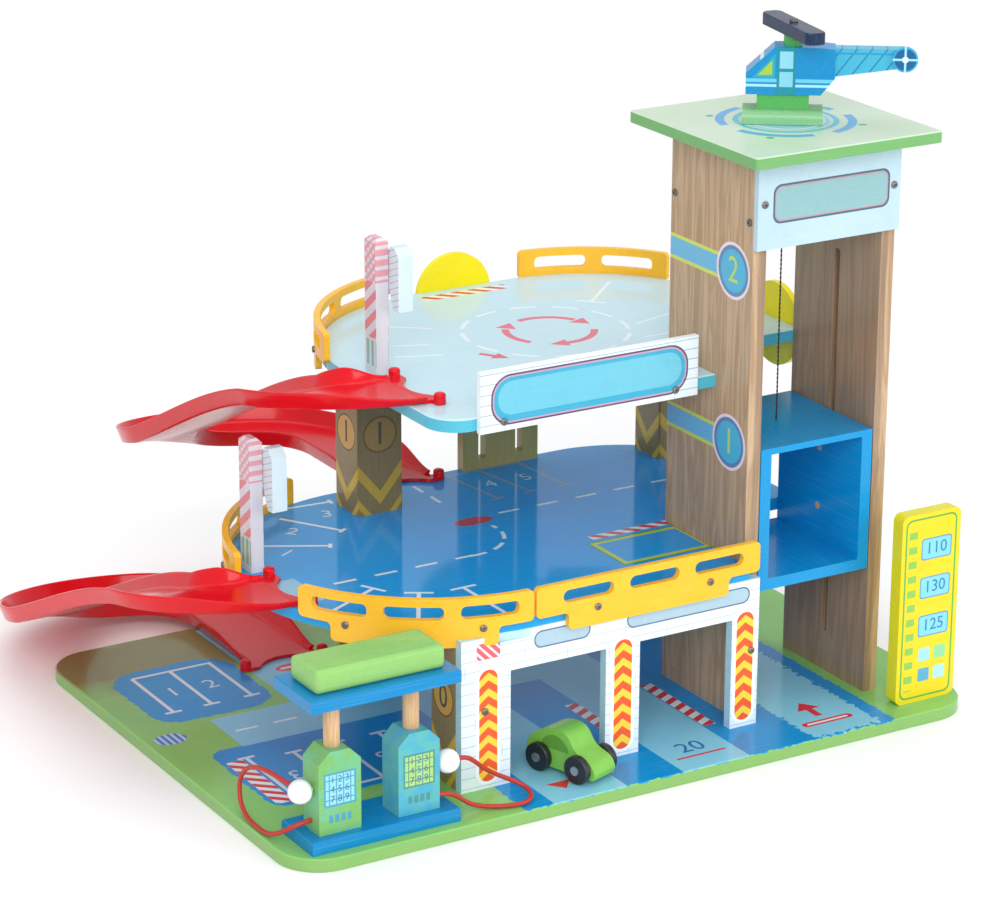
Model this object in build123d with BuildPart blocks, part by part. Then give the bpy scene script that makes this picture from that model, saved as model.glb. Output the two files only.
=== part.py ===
from build123d import *
import math
import os

os.makedirs("parts", exist_ok=True)

# Toy parking garage with a lift: painted plywood boards, beech dowels, two moulded ramps.
# Origin at the centre of the baseboard's underside, +X right along the front, +Y to the
# back, +Z up. All sizes in millimetres.

# ------------------------------------------------------------------ baseboard and decks
board_length = 600.0
board_depth = 445.0
board_thickness = 10.0
board_corner = 35.0
board_edge_break = 1.0

deck_thickness = 10.0
deck_1_top = 140.5
deck_2_top = 280.0
deck_right = 238.0
deck_edge_break = 0.8

deck_1_arc_x = -79.0
deck_1_back = 133.0
deck_1_right_radius = 108.0

deck_2_front = -120.0
deck_2_left = -124.0
deck_2_back = 178.0
deck_2_corner = 25.0
deck_2_arc_radius = 145.0
deck_2_right_radius = 128.0

# ------------------------------------------------------------------ lift tower and roof
tower_x = 179.25
tower_inner_width = 105.5
panel_thickness = 12.0
tower_front = -165.0
tower_back = -55.0
tower_top = 457.5

header_bottom = 388.0
header_thickness = 5.0

batten_width = 20.0
batten_thickness = 10.0
batten_z = 408.0

roof_length = 168.0
roof_depth = 170.0
roof_thickness = 9.0
roof_shift_y = 1.0

# ------------------------------------------------------------------ lift cabin and winch
cabin_side_gap = 1.0
cabin_back_gap = 1.0
cabin_floor_bottom = 115.0
cabin_floor_thickness = 9.0
cabin_height = 114.5
cabin_roof_thickness = 5.0
cabin_wall = 9.5
cabin_lowest_gap = 0.5

guide_groove_width = 7.0
guide_groove_depth = 6.0
guide_pin_radius = 3.0
guide_pin_low = 36.5
guide_pin_high = 85.0
guide_end_gap = 4.0

cord_diameter = 1.5
cord_y = -110.0
cord_hole_radius = 1.2
knot_radius = 3.0
knot_height = 4.5

winch_z = 425.0
winch_radius = 6.0
winch_running_gap = 0.05
winch_end_depth = 6.0
cord_lay_gap = 0.1
knob_radius = 18.0
knob_thickness = 14.0
knob_gap = 1.5
knob_bore_depth = 9.0
knob_flutes = 12
knob_flute_radius = 2.2

# ------------------------------------------------------------------ front wall and pillars
facade_left = -139.0
facade_right = 124.0
facade_thickness = 8.0
door_height = 90.0
door_left_start = -97.0
door_left_end = -14.0
door_right_start = 16.0
door_right_end = 99.5

pillar_x_size = 40.0
pillar_y_size = 37.0
pillar_edge_round = 1.5
pillar_back_left = (-70.0, 91.5)
pillar_back_right = (210.0, 88.5)

slot_board_left = 35.0
slot_board_right = 106.0
slot_board_thickness = 9.0
slot_width = 7.0
slot_offset = 17.5
slot_bridge = 9.0

# ------------------------------------------------------------------ guard rails and discs
rail_thickness = 5.0
rail_drop = 16.5
rail_rise = 21.5
rail_step = 14.0
rail_step_inset = 28.0
rail_round = 4.0
rail_rebate_gap = 0.3
rail_window_length = 44.0
rail_window_height = 10.0
rail_window_lift = 22.0
straight_rail_left = -78.0
straight_rail_right = 120.0
straight_rail_pitch = 58.0
straight_rail_middle = 25.0

front_rail_angles = (203.0, 269.6)
left_rail_angles = (105.0, 173.5)
upper_left_rail_angles = (103.0, 171.0)
upper_back_rail_angles = (29.0, 85.5)

billboard_width = 190.0
billboard_bottom = 268.0
billboard_height = 47.0
billboard_thickness = 5.0

disc_radius = 34.0
disc_thickness = 5.0
disc_back_x = 58.0
disc_tower_gap = 1.0

# ------------------------------------------------------------------ moulded ramps
ramp_lower_head = (-207.0, -44.5)
ramp_upper_head = (-98.0, -44.0)
ramp_half_width = 34.0
ramp_floor_half = 30.0
ramp_skin = 2.4
ramp_seat_gap = 0.4
ramp_wall_height = 14.0
ramp_lead = 15.0
ramp_quarter_radius = 70.0
ramp_run = 196.0
ramp_loop_radius = 79.0
ramp_return = 107.0
ramp_level_length = 36.0
ramp_slope_end = 0.70
ramp_taper = 46.0
ramp_low_wall = 5.0
ramp_stations = 27
fork_length = 14.0
fork_scallop_radius = 30.0
fork_scallop_offset = 18.0
knob_spacing = 69.0
ramp_knob_radius = 4.5
ramp_knob_height = 8.0
ramp_peg_radius = 2.5
ramp_peg_depth = 6.0
ramp_peg_gap = 0.1

# ------------------------------------------------------------------ ramp barriers
barrier_offset = (-6.5, 57.5)
post_x_size = 11.0
post_y_size = 17.0
post_height = 106.0
post_peak = 3.0
boom_gap = 0.5
boom_thickness = 12.5
boom_width = 18.0
boom_length = 49.0
boom_drop = 15.0
boom_reach = 5.0
boom_tip_chamfer = 6.0
boom_heel_rise = 24.0
boom_heel_cut = 10.0
boom_ear_radius = 6.5
boom_ear_reach = 12.0
boom_pivot_height = 66.0
boom_pin_radius = 2.5
boom_pin_gap = 0.05
boom_pin_head = 4.5
boom_pin_head_height = 2.0

# ------------------------------------------------------------------ fuel island
island_left = -283.5
island_right = -162.5
island_front = -213.0
island_depth = 48.0
island_thickness = 10.5
pump_width = 34.0
pump_depth = 24.0
pump_height = 63.5
pump_shoulder = 9.0
pump_y = -193.0
pump_green_x = -257.0
pump_blue_x = -192.5
column_radius = 6.0
column_socket = 8.0
canopy_underside = 119.5
canopy_thickness = 9.5
canopy_depth = 57.0
canopy_y = -185.5
canopy_block_length = 110.0
canopy_block_depth = 45.0
canopy_block_height = 22.0
canopy_block_bevel = 8.0

hose_diameter = 3.5
bead_radius = 9.0
bead_gap = 0.3
hose_end_gap = 0.3
bead_height = 43.5
nozzle_radius = 2.0
nozzle_depth = 5.0
nozzle_gap = 0.1
bead_left_y = -194.0
bead_right_y = -200.0

# ------------------------------------------------------------------ price board
price_left = 236.0
price_width = 56.0
price_back = -190.0
price_thickness = 12.0
price_height = 157.0
price_corner = 6.0

# ------------------------------------------------------------------ helicopter
heli_x = 177.0
heli_y = -108.5
heli_heading = -35.0
heli_seat_gap = 0.3
skid_length = 60.0
skid_width = 30.0
skid_height = 10.5
neck_length = 39.0
neck_width = 18.0
neck_height = 11.5
heli_nose = -28.0
heli_rear = 38.5
heli_height = 36.0
heli_thickness = 22.0
tail_end = 90.0
tail_thickness = 12.0
tail_top_drop = 1.0
tail_round = 7.0
tail_disc_radius = 9.5
tail_disc_thickness = 3.0
mast_along = 6.5
mast_radius = 7.0
mast_height = 8.0
blade_length = 86.0
blade_width = 16.0
blade_thickness = 9.0
blade_corner = 6.0
blade_turn = -100.5
blade_gap = 0.3
blade_screw_radius = 1.5
blade_screw_gap = 0.1
blade_screw_head = 3.2
blade_screw_head_height = 2.0
blade_screw_bite = 6.0

# ------------------------------------------------------------------ toy car
car_x = -46.5
car_y = -177.3
car_heading = -72.0
car_body_width = 24.0
wheel_radius = 11.0
wheel_thickness = 6.0
wheel_gap = 0.4
wheel_board_gap = 0.3
wheel_base = 38.0
axle_radius = 1.8
axle_gap = 0.06
hub_radius = 3.5
hub_thickness = 1.0
car_clearance = 3.8
car_nose = 33.0
car_roof_height = 32.0

# ------------------------------------------------------------------ wood screws
screw_head_radius = 2.6
screw_head_height = 0.8
screw_shank_radius = 1.2
screw_length = 16.0
header_screw_z = 423.0
facade_screw_z = 72.0
rail_screw_z = 7.5

# ------------------------------------------------------------------ places worked out
deck_1_front = tower_front - facade_thickness
deck_1_arc_radius = (deck_1_back - deck_1_front) / 2
deck_1_arc_y = (deck_1_back + deck_1_front) / 2
deck_2_arc_x = deck_2_left + deck_2_arc_radius
deck_2_arc_y = deck_2_back - deck_2_arc_radius
tower_left = tower_x - tower_inner_width / 2 - panel_thickness
tower_right = tower_x + tower_inner_width / 2 + panel_thickness
shaft_left = tower_left + panel_thickness
shaft_right = tower_right - panel_thickness
tower_middle_y = (tower_front + tower_back) / 2
tower_depth = tower_back - tower_front
roof_top = tower_top + roof_thickness
deck_2_right_centre = (deck_right - deck_2_right_radius, deck_2_back - deck_2_right_radius)
pillar_front_y = tower_front + pillar_y_size / 2
pillar_front_left = (facade_left + pillar_x_size / 2, pillar_front_y)


def save(piece, name):
    """Label a finished piece and write it as its own STEP file."""
    piece.part.label = name
    export_step(piece.part, f"parts/{name}.step")


def standing_board(y_back, left, right, bottom, top, thickness):
    """Plain upright board facing the front, its back face at y_back."""
    with BuildPart() as board:
        with BuildSketch(Plane.XZ.offset(-y_back)):
            with Locations(((left + right) / 2, (bottom + top) / 2)):
                Rectangle(right - left, top - bottom)
        extrude(amount=thickness)
    return board


# ================================================================== ramp geometry
ramp_quarter = ramp_quarter_radius * math.pi / 2
ramp_loop = ramp_loop_radius * math.pi
ramp_length = ramp_lead + ramp_quarter + ramp_run + ramp_loop + ramp_return
ramp_far_x = -ramp_lead - ramp_quarter_radius
ramp_loop_y = ramp_quarter_radius + ramp_run
ramp_foot_x = ramp_far_x + 2 * ramp_loop_radius
ramp_foot_y = ramp_loop_y - ramp_return


def ramp_plan(s):
    """Place and heading (degrees) of the track's centre line, s along it from the head."""
    if s <= ramp_lead:
        return -s, 0.0, 180.0
    s -= ramp_lead
    if s <= ramp_quarter:
        turn = s / ramp_quarter_radius
        x = -ramp_lead - ramp_quarter_radius * math.sin(turn)
        y = ramp_quarter_radius * (1 - math.cos(turn))
        return x, y, 180.0 - math.degrees(turn)
    s -= ramp_quarter
    if s <= ramp_run:
        return ramp_far_x, ramp_quarter_radius + s, 90.0
    s -= ramp_run
    if s <= ramp_loop:
        turn = s / ramp_loop_radius
        x = ramp_far_x + ramp_loop_radius * (1 - math.cos(turn))
        y = ramp_loop_y + ramp_loop_radius * math.sin(turn)
        return x, y, 90.0 - math.degrees(turn)
    s -= ramp_loop
    return ramp_foot_x, ramp_loop_y - s, -90.0


def ramp_fall(s):
    """Share of the whole drop at s: level head, half a cosine, then level to the foot."""
    share = (s - ramp_level_length) / (ramp_slope_end * ramp_length - ramp_level_length)
    share = min(1.0, max(0.0, share))
    return (1 - math.cos(math.pi * share)) / 2


def ramp_wall(s):
    """Height of the side walls at s: low at both ends, full height between."""
    share = min(1.0, (s - fork_length) / ramp_taper, (ramp_length - fork_length - s) / ramp_taper)
    share = max(0.0, share)
    rise = share * share * (3 - 2 * share)
    return ramp_low_wall + (ramp_wall_height - ramp_low_wall) * rise


def ramp_ends(head, top, bottom):
    """Planes on the upper and lower floors at the track's two ends, x pointing outward."""
    upper = Plane(origin=(head[0], head[1], top), x_dir=(1, 0, 0))
    lower = Plane(origin=(head[0] + ramp_foot_x, head[1] + ramp_foot_y, bottom), x_dir=(0, -1, 0))
    return [upper, lower]


def peg_points(end):
    """The two peg centres of one track end, on the floor that it lies on."""
    sides = [-knob_spacing / 2, knob_spacing / 2]
    return [end.from_local_coords((-ramp_knob_radius, side, 0)) for side in sides]


def build_ramp(head, top, bottom):
    """One moulded track: lofted trough, forked ends, lugs with pegs into the floors."""
    seats = [end.offset(ramp_seat_gap) for end in ramp_ends(head, top, bottom)]
    with BuildPart() as ramp:
        span = ramp_length - 2 * fork_length
        for i in range(ramp_stations):
            s = fork_length + span * i / (ramp_stations - 1)
            x, y, heading = ramp_plan(s)
            z = top + ramp_seat_gap - (top - bottom) * ramp_fall(s)
            ahead = (math.cos(math.radians(heading)), math.sin(math.radians(heading)), 0)
            across = (-ahead[1], ahead[0], 0)
            wall = ramp_wall(s)
            lean = (ramp_half_width - ramp_floor_half) * wall / ramp_wall_height
            rim = ramp_floor_half + lean
            with BuildSketch(Plane(origin=(head[0] + x, head[1] + y, z), x_dir=across, z_dir=ahead)):
                with BuildLine():
                    Polyline(
                        (-rim, wall),
                        (-ramp_floor_half, 0),
                        (ramp_floor_half, 0),
                        (rim, wall),
                        (rim - ramp_skin, wall),
                        (ramp_floor_half - ramp_skin, ramp_skin),
                        (ramp_skin - ramp_floor_half, ramp_skin),
                        (ramp_skin - rim, wall),
                        close=True,
                    )
                make_face()
        loft()
        for end in seats:
            with BuildSketch(end):
                with Locations((-(fork_length + 1) / 2, 0)):
                    Rectangle(fork_length + 1, 2 * ramp_floor_half)
                with Locations((-ramp_knob_radius, -knob_spacing / 2), (-ramp_knob_radius, knob_spacing / 2)):
                    Circle(ramp_knob_radius)
                with Locations((-ramp_knob_radius, 0)):
                    Rectangle(2 * ramp_knob_radius, knob_spacing)
                with Locations((fork_scallop_offset, 0)):
                    Circle(fork_scallop_radius, mode=Mode.SUBTRACT)
            extrude(amount=ramp_skin)
            with BuildSketch(end):
                with Locations((-ramp_knob_radius, -knob_spacing / 2), (-ramp_knob_radius, knob_spacing / 2)):
                    Circle(ramp_knob_radius)
            extrude(amount=ramp_knob_height)
            with BuildSketch(end):
                with Locations((-ramp_knob_radius, -knob_spacing / 2), (-ramp_knob_radius, knob_spacing / 2)):
                    Circle(ramp_peg_radius)
            extrude(amount=-ramp_peg_depth)
    return ramp


lower_ends = ramp_ends(ramp_lower_head, deck_1_top, board_thickness)
upper_ends = ramp_ends(ramp_upper_head, deck_2_top, deck_1_top)


def peg_holes(ends):
    """Blind holes for the pegs of the given track ends, in the piece being built."""
    points = [point for end in ends for point in peg_points(end)]
    with Locations(*points):
        Hole(ramp_peg_radius + ramp_peg_gap, depth=ramp_peg_depth + 1)


# ================================================================== baseboard
with BuildPart() as base_board:
    with BuildSketch():
        RectangleRounded(board_length, board_depth, board_corner)
    extrude(amount=board_thickness)
    chamfer(base_board.edges().group_by(Axis.Z)[-1], board_edge_break)
    peg_holes([lower_ends[1]])
save(base_board, "base_board")

# ================================================================== decks
with BuildPart() as deck_1:
    with BuildSketch(Plane.XY.offset(deck_1_top - deck_thickness)):
        with BuildLine():
            Polyline(
                (deck_1_arc_x, deck_1_front),
                (tower_left, deck_1_front),
                (tower_left, tower_back),
                (deck_right, tower_back),
                (deck_right, deck_1_back - deck_1_right_radius),
            )
            CenterArc(
                (deck_right - deck_1_right_radius, deck_1_back - deck_1_right_radius),
                deck_1_right_radius, 0, 90,
            )
            Line((deck_right - deck_1_right_radius, deck_1_back), (deck_1_arc_x, deck_1_back))
            CenterArc((deck_1_arc_x, deck_1_arc_y), deck_1_arc_radius, 90, 180)
        make_face()
    extrude(amount=deck_thickness)
    chamfer(deck_1.edges().group_by(Axis.Z)[-1], deck_edge_break)
    peg_holes([lower_ends[0], upper_ends[1]])
save(deck_1, "deck_1")

with BuildPart() as deck_2:
    with BuildSketch(Plane.XY.offset(deck_2_top - deck_thickness)):
        with BuildLine():
            Polyline(
                (deck_2_left + deck_2_corner, deck_2_front),
                (tower_left, deck_2_front),
                (tower_left, tower_back),
                (deck_right, tower_back),
                (deck_right, deck_2_right_centre[1]),
            )
            CenterArc(deck_2_right_centre, deck_2_right_radius, 0, 90)
            Line((deck_2_right_centre[0], deck_2_back), (deck_2_arc_x, deck_2_back))
            CenterArc((deck_2_arc_x, deck_2_arc_y), deck_2_arc_radius, 90, 90)
            Line((deck_2_left, deck_2_arc_y), (deck_2_left, deck_2_front + deck_2_corner))
            CenterArc(
                (deck_2_left + deck_2_corner, deck_2_front + deck_2_corner), deck_2_corner, 180, 90
            )
        make_face()
    extrude(amount=deck_thickness)
    chamfer(deck_2.edges().group_by(Axis.Z)[-1], deck_edge_break)
    peg_holes([upper_ends[0]])
save(deck_2, "deck_2")

# ================================================================== lift tower
cabin_travel_down = cabin_floor_bottom - board_thickness - cabin_lowest_gap
cabin_travel_up = deck_2_top - cabin_floor_bottom - cabin_floor_thickness
groove_bottom = cabin_floor_bottom + guide_pin_low - cabin_travel_down - guide_end_gap
groove_top = cabin_floor_bottom + guide_pin_high + cabin_travel_up + guide_end_gap
winch_y = cord_y - winch_radius - cord_diameter / 2 - cord_lay_gap


def tower_panel(inner_x, side, through_bore):
    """Side panel with the cabin's blind guide groove and the winding shaft's bore."""
    face = Plane(origin=(inner_x, tower_middle_y, 0), x_dir=(0, 1, 0), z_dir=(side, 0, 0))
    with BuildPart() as panel:
        with BuildSketch(face):
            with Locations((0, (board_thickness + tower_top) / 2 * side)):
                Rectangle(tower_depth, tower_top - board_thickness)
        extrude(amount=panel_thickness)
        with BuildSketch(face):
            with Locations((0, (groove_bottom + groove_top) / 2 * side)):
                SlotOverall(groove_top - groove_bottom, guide_groove_width, rotation=90)
        extrude(amount=guide_groove_depth, mode=Mode.SUBTRACT)
        with BuildSketch(face):
            with Locations((winch_y - tower_middle_y, winch_z * side)):
                Circle(winch_radius + winch_running_gap)
        extrude(amount=panel_thickness if through_bore else winch_end_depth, mode=Mode.SUBTRACT)
    return panel


tower_panel_left = tower_panel(shaft_left, -1, False)
save(tower_panel_left, "tower_panel_left")
tower_panel_right = tower_panel(shaft_right, 1, True)
save(tower_panel_right, "tower_panel_right")

tower_header = standing_board(
    tower_front, tower_left, tower_right, header_bottom, tower_top, header_thickness
)
save(tower_header, "tower_header")

with BuildPart() as tower_battens:
    with BuildSketch(Plane.YZ.offset(shaft_left)):
        with Locations(
            (tower_front + batten_thickness / 2, batten_z),
            (tower_back - batten_thickness / 2, batten_z),
        ):
            Rectangle(batten_thickness, batten_width)
    extrude(amount=tower_inner_width)
save(tower_battens, "tower_battens")

with BuildPart() as roof_plate:
    with BuildSketch(Plane(origin=(tower_x, tower_middle_y + roof_shift_y, tower_top))):
        Rectangle(roof_length, roof_depth)
    extrude(amount=roof_thickness)
    fillet(roof_plate.edges().filter_by(Axis.Z), 2.0)
    chamfer(roof_plate.edges().group_by(Axis.Z)[-1], deck_edge_break)
save(roof_plate, "roof_plate")

# ================================================================== lift cabin
cabin_left = shaft_left + cabin_side_gap
cabin_right = shaft_right - cabin_side_gap
cabin_back = tower_back - cabin_back_gap
cabin_middle_y = (tower_front + cabin_back) / 2
cabin_top = cabin_floor_bottom + cabin_height
cabin_floor_top = cabin_floor_bottom + cabin_floor_thickness
cabin_ceiling = cabin_top - cabin_roof_thickness
pin_heights = [cabin_floor_bottom + guide_pin_low, cabin_floor_bottom + guide_pin_high]
pin_places = [(tower_middle_y, height) for height in pin_heights]

with BuildPart() as cabin_floor:
    with BuildSketch(Plane(origin=(tower_x, cabin_middle_y, cabin_floor_bottom))):
        Rectangle(cabin_right - cabin_left, cabin_back - tower_front)
    extrude(amount=cabin_floor_thickness)
save(cabin_floor, "cabin_floor")

with BuildPart() as cabin_roof:
    with BuildSketch(Plane(origin=(tower_x, cabin_middle_y, cabin_ceiling))):
        Rectangle(cabin_right - cabin_left, cabin_back - tower_front)
        with Locations((0, cord_y - cabin_middle_y)):
            Circle(cord_hole_radius, mode=Mode.SUBTRACT)
    extrude(amount=cabin_roof_thickness)
save(cabin_roof, "cabin_roof")


def cabin_wall_board(left):
    """Cabin side wall between floor and roof, bored for its two guide pins."""
    with BuildPart() as wall:
        with BuildSketch(Plane.YZ.offset(left)):
            with Locations((cabin_middle_y, (cabin_floor_top + cabin_ceiling) / 2)):
                Rectangle(cabin_back - tower_front, cabin_ceiling - cabin_floor_top)
            with Locations(*pin_places):
                Circle(guide_pin_radius, mode=Mode.SUBTRACT)
        extrude(amount=cabin_wall)
    return wall


cabin_wall_left = cabin_wall_board(cabin_left)
save(cabin_wall_left, "cabin_wall_left")
cabin_wall_right = cabin_wall_board(cabin_right - cabin_wall)
save(cabin_wall_right, "cabin_wall_right")

guide_pin_length = cabin_wall + cabin_side_gap + guide_groove_depth - guide_end_gap / 4
with BuildPart() as cabin_guide_pins:
    with BuildSketch(Plane.YZ.offset(cabin_left + cabin_wall - guide_pin_length)):
        with Locations(*pin_places):
            Circle(guide_pin_radius)
    extrude(amount=guide_pin_length)
    with BuildSketch(Plane.YZ.offset(cabin_right - cabin_wall)):
        with Locations(*pin_places):
            Circle(guide_pin_radius)
    extrude(amount=guide_pin_length)
save(cabin_guide_pins, "cabin_guide_pins")

with BuildPart() as lift_cord:
    with BuildSketch(Plane(origin=(tower_x, cord_y, cabin_ceiling))):
        Circle(cord_diameter / 2)
    extrude(amount=winch_z - cabin_ceiling)
save(lift_cord, "lift_cord")

with BuildPart() as lift_cord_knot:
    with BuildSketch(Plane(origin=(tower_x, cord_y, cabin_ceiling - knot_height))):
        Circle(knot_radius)
    extrude(amount=knot_height)
    fillet(lift_cord_knot.edges().group_by(Axis.Z)[0], 2.0)
save(lift_cord_knot, "lift_cord_knot")

# ================================================================== winding shaft and knob
winch_left = shaft_left - winch_end_depth + 1
knob_inner = tower_right + knob_gap
with BuildPart() as winding_shaft:
    with BuildSketch(Plane(origin=(winch_left, winch_y, winch_z), x_dir=(0, 1, 0), z_dir=(1, 0, 0))):
        Circle(winch_radius)
    extrude(amount=knob_inner + knob_bore_depth - winch_left)
save(winding_shaft, "winding_shaft")

with BuildPart() as winding_knob:
    with BuildSketch(Plane(origin=(knob_inner, winch_y, winch_z), x_dir=(0, 1, 0), z_dir=(1, 0, 0))):
        Circle(knob_radius)
        with PolarLocations(knob_radius, knob_flutes):
            Circle(knob_flute_radius, mode=Mode.SUBTRACT)
    extrude(amount=knob_thickness)
    chamfer(winding_knob.edges().group_by(Axis.X)[-1], 1.2)
    with BuildSketch(Plane(origin=(knob_inner, winch_y, winch_z), x_dir=(0, 1, 0), z_dir=(1, 0, 0))):
        Circle(winch_radius)
    extrude(amount=knob_bore_depth, mode=Mode.SUBTRACT)
save(winding_knob, "winding_knob")

deck_1_arc = (deck_1_arc_x, deck_1_arc_y)
deck_2_arc = (deck_2_arc_x, deck_2_arc_y)
deck_1_underside = deck_1_top - deck_thickness
deck_2_underside = deck_2_top - deck_thickness


def rail_rebate():
    """Cut the piece being built clear of the curved front rail, which dips below the deck."""
    start = Plane.XY.offset(deck_1_top - rail_drop - rail_rebate_gap)
    near = deck_1_arc_radius - rail_rebate_gap
    far = deck_1_arc_radius + rail_thickness + rail_rebate_gap
    first, last = front_rail_angles
    with BuildSketch(start, mode=Mode.PRIVATE) as ring:
        with BuildLine():
            inner = CenterArc(deck_1_arc, near, first - 1, last - first + 1)
            outer = CenterArc(deck_1_arc, far, first - 1, last - first + 1)
            Line(inner @ 0, outer @ 0)
            Line(inner @ 1, outer @ 1)
        make_face()
    extrude(ring.sketch, amount=rail_drop, mode=Mode.SUBTRACT)


# ================================================================== front wall
with BuildPart() as facade:
    with BuildSketch(Plane.XZ.offset(-tower_front)):
        door_top = board_thickness + door_height
        with BuildLine():
            Polyline(
                (facade_left, board_thickness),
                (door_left_start, board_thickness),
                (door_left_start, door_top),
                (door_left_end, door_top),
                (door_left_end, board_thickness),
                (door_right_start, board_thickness),
                (door_right_start, door_top),
                (door_right_end, door_top),
                (door_right_end, board_thickness),
                (facade_right, board_thickness),
                (facade_right, deck_1_underside),
                (facade_left, deck_1_underside),
                close=True,
            )
        make_face()
    extrude(amount=facade_thickness)
    rail_rebate()
save(facade, "facade")


# ================================================================== pillars
def pillar(place, bottom, top):
    """Square wooden pillar between two floors."""
    with BuildPart() as block:
        with BuildSketch(Plane(origin=(place[0], place[1], bottom))):
            Rectangle(pillar_x_size, pillar_y_size)
        extrude(amount=top - bottom)
        fillet(block.edges().filter_by(Axis.Z), pillar_edge_round)
    return block


with BuildPart() as ground_pillar_front:
    add(pillar(pillar_front_left, board_thickness, deck_1_underside))
    rail_rebate()
save(ground_pillar_front, "ground_pillar_front")
save(pillar(pillar_back_left, board_thickness, deck_1_underside), "ground_pillar_left")
save(pillar(pillar_back_right, board_thickness, deck_1_underside), "ground_pillar_right")
save(pillar(pillar_back_left, deck_1_top, deck_2_underside), "deck_pillar_left")
save(pillar(pillar_back_right, deck_1_top, deck_2_underside), "deck_pillar_right")

with BuildPart() as slotted_support:
    with BuildSketch(Plane.XZ.offset(-deck_1_back)):
        support_x = (slot_board_left + slot_board_right) / 2
        with Locations((support_x, (deck_1_top + deck_2_underside) / 2)):
            Rectangle(slot_board_right - slot_board_left, deck_2_underside - deck_1_top)
        slot_bottom = deck_1_top + slot_bridge
        with Locations(
            (support_x - slot_offset, (slot_bottom + deck_2_underside) / 2),
            (support_x + slot_offset, (slot_bottom + deck_2_underside) / 2),
        ):
            Rectangle(slot_width, deck_2_underside - slot_bottom, mode=Mode.SUBTRACT)
    extrude(amount=slot_board_thickness)
save(slotted_support, "slotted_support")

# ================================================================== guard rails
with BuildPart() as rail_front_straight:
    with BuildSketch(Plane.XZ.offset(-deck_1_front)) as rail_outline:
        rail_bottom = deck_1_top - rail_drop
        rail_top = deck_1_top + rail_rise
        with BuildLine():
            Polyline(
                (straight_rail_left, rail_top),
                (straight_rail_left, rail_bottom + rail_step),
                (straight_rail_left + rail_step_inset, rail_bottom + rail_step),
                (straight_rail_left + rail_step_inset, rail_bottom),
                (straight_rail_right - rail_step_inset, rail_bottom),
                (straight_rail_right - rail_step_inset, rail_bottom + rail_step),
                (straight_rail_right, rail_bottom + rail_step),
                (straight_rail_right, rail_top),
                close=True,
            )
        make_face()
        fillet(rail_outline.vertices(), rail_round)
        with Locations((straight_rail_middle, rail_bottom + rail_window_lift + rail_window_height / 2)):
            with GridLocations(straight_rail_pitch, 1, 3, 1):
                SlotOverall(rail_window_length, rail_window_height, mode=Mode.SUBTRACT)
    extrude(amount=rail_thickness)
save(rail_front_straight, "rail_front_straight")


def curved_rail(centre, radius, angles, deck_top, windows):
    """Guard rail bent round a deck edge: stepped lower edge and a row of long windows."""
    start, end = angles
    bottom = deck_top - rail_drop
    middle = radius + rail_thickness / 2
    window = math.degrees(rail_window_length / middle)
    gap = (end - start - windows * window) / (windows + 1)
    inset = math.degrees(rail_step_inset / middle)
    window_starts = [start + gap + i * (window + gap) for i in range(windows)]
    window_spans = [(first, first + window) for first in window_starts]
    step_spans = [(start - 1, start + inset), (end - inset, end + 1)]
    layers = [
        (bottom, rail_drop + rail_rise, 0, [(start, end)], Mode.ADD),
        (bottom, rail_step, 1, step_spans, Mode.SUBTRACT),
        (bottom + rail_window_lift, rail_window_height, 1, window_spans, Mode.SUBTRACT),
    ]
    with BuildPart() as rail:
        for z, height, margin, spans, mode in layers:
            for first, last in spans:
                with BuildSketch(Plane.XY.offset(z)):
                    with BuildLine():
                        inner = CenterArc(centre, radius - margin, first, last - first)
                        outer = CenterArc(
                            centre, radius + rail_thickness + margin, first, last - first
                        )
                        Line(inner @ 0, outer @ 0)
                        Line(inner @ 1, outer @ 1)
                    make_face()
                extrude(amount=height, mode=mode)
        straight = rail.edges().filter_by(GeomType.LINE)
        fillet([edge for edge in straight if abs(edge.length - rail_thickness) < 0.01], rail_round)
    return rail


rail_front_curved = curved_rail(deck_1_arc, deck_1_arc_radius, front_rail_angles, deck_1_top, 3)
save(rail_front_curved, "rail_front_curved")
rail_left_lower = curved_rail(deck_1_arc, deck_1_arc_radius, left_rail_angles, deck_1_top, 3)
save(rail_left_lower, "rail_left_lower")
rail_left_upper = curved_rail(deck_2_arc, deck_2_arc_radius, upper_left_rail_angles, deck_2_top, 3)
save(rail_left_upper, "rail_left_upper")
rail_back_upper = curved_rail(
    deck_2_right_centre, deck_2_right_radius, upper_back_rail_angles, deck_2_top, 2
)
save(rail_back_upper, "rail_back_upper")

billboard = standing_board(
    deck_2_front,
    -billboard_width / 2,
    billboard_width / 2,
    billboard_bottom,
    billboard_bottom + billboard_height,
    billboard_thickness,
)
save(billboard, "billboard")

disc_z = deck_2_top - deck_thickness / 2
disc_right_y = tower_back + disc_tower_gap + disc_radius
with BuildPart() as edge_discs:
    with BuildSketch(Plane.XZ.offset(-deck_2_back)):
        with Locations((disc_back_x, disc_z)):
            Circle(disc_radius)
    extrude(amount=-disc_thickness)
    with BuildSketch(Plane.YZ.offset(deck_right)):
        with Locations((disc_right_y, disc_z)):
            Circle(disc_radius)
    extrude(amount=disc_thickness)
save(edge_discs, "edge_discs")

# ================================================================== ramps
ramp_lower = build_ramp(ramp_lower_head, deck_1_top, board_thickness)
save(ramp_lower, "ramp_lower")
ramp_upper = build_ramp(ramp_upper_head, deck_2_top, deck_1_top)
save(ramp_upper, "ramp_upper")


# ================================================================== barriers
def barrier_place(head):
    """Centre of the barrier post that stands beside a ramp head."""
    return head[0] + barrier_offset[0], head[1] + barrier_offset[1]


boom_inner = post_x_size / 2 + boom_gap
pin_bite = post_x_size * 0.7


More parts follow.
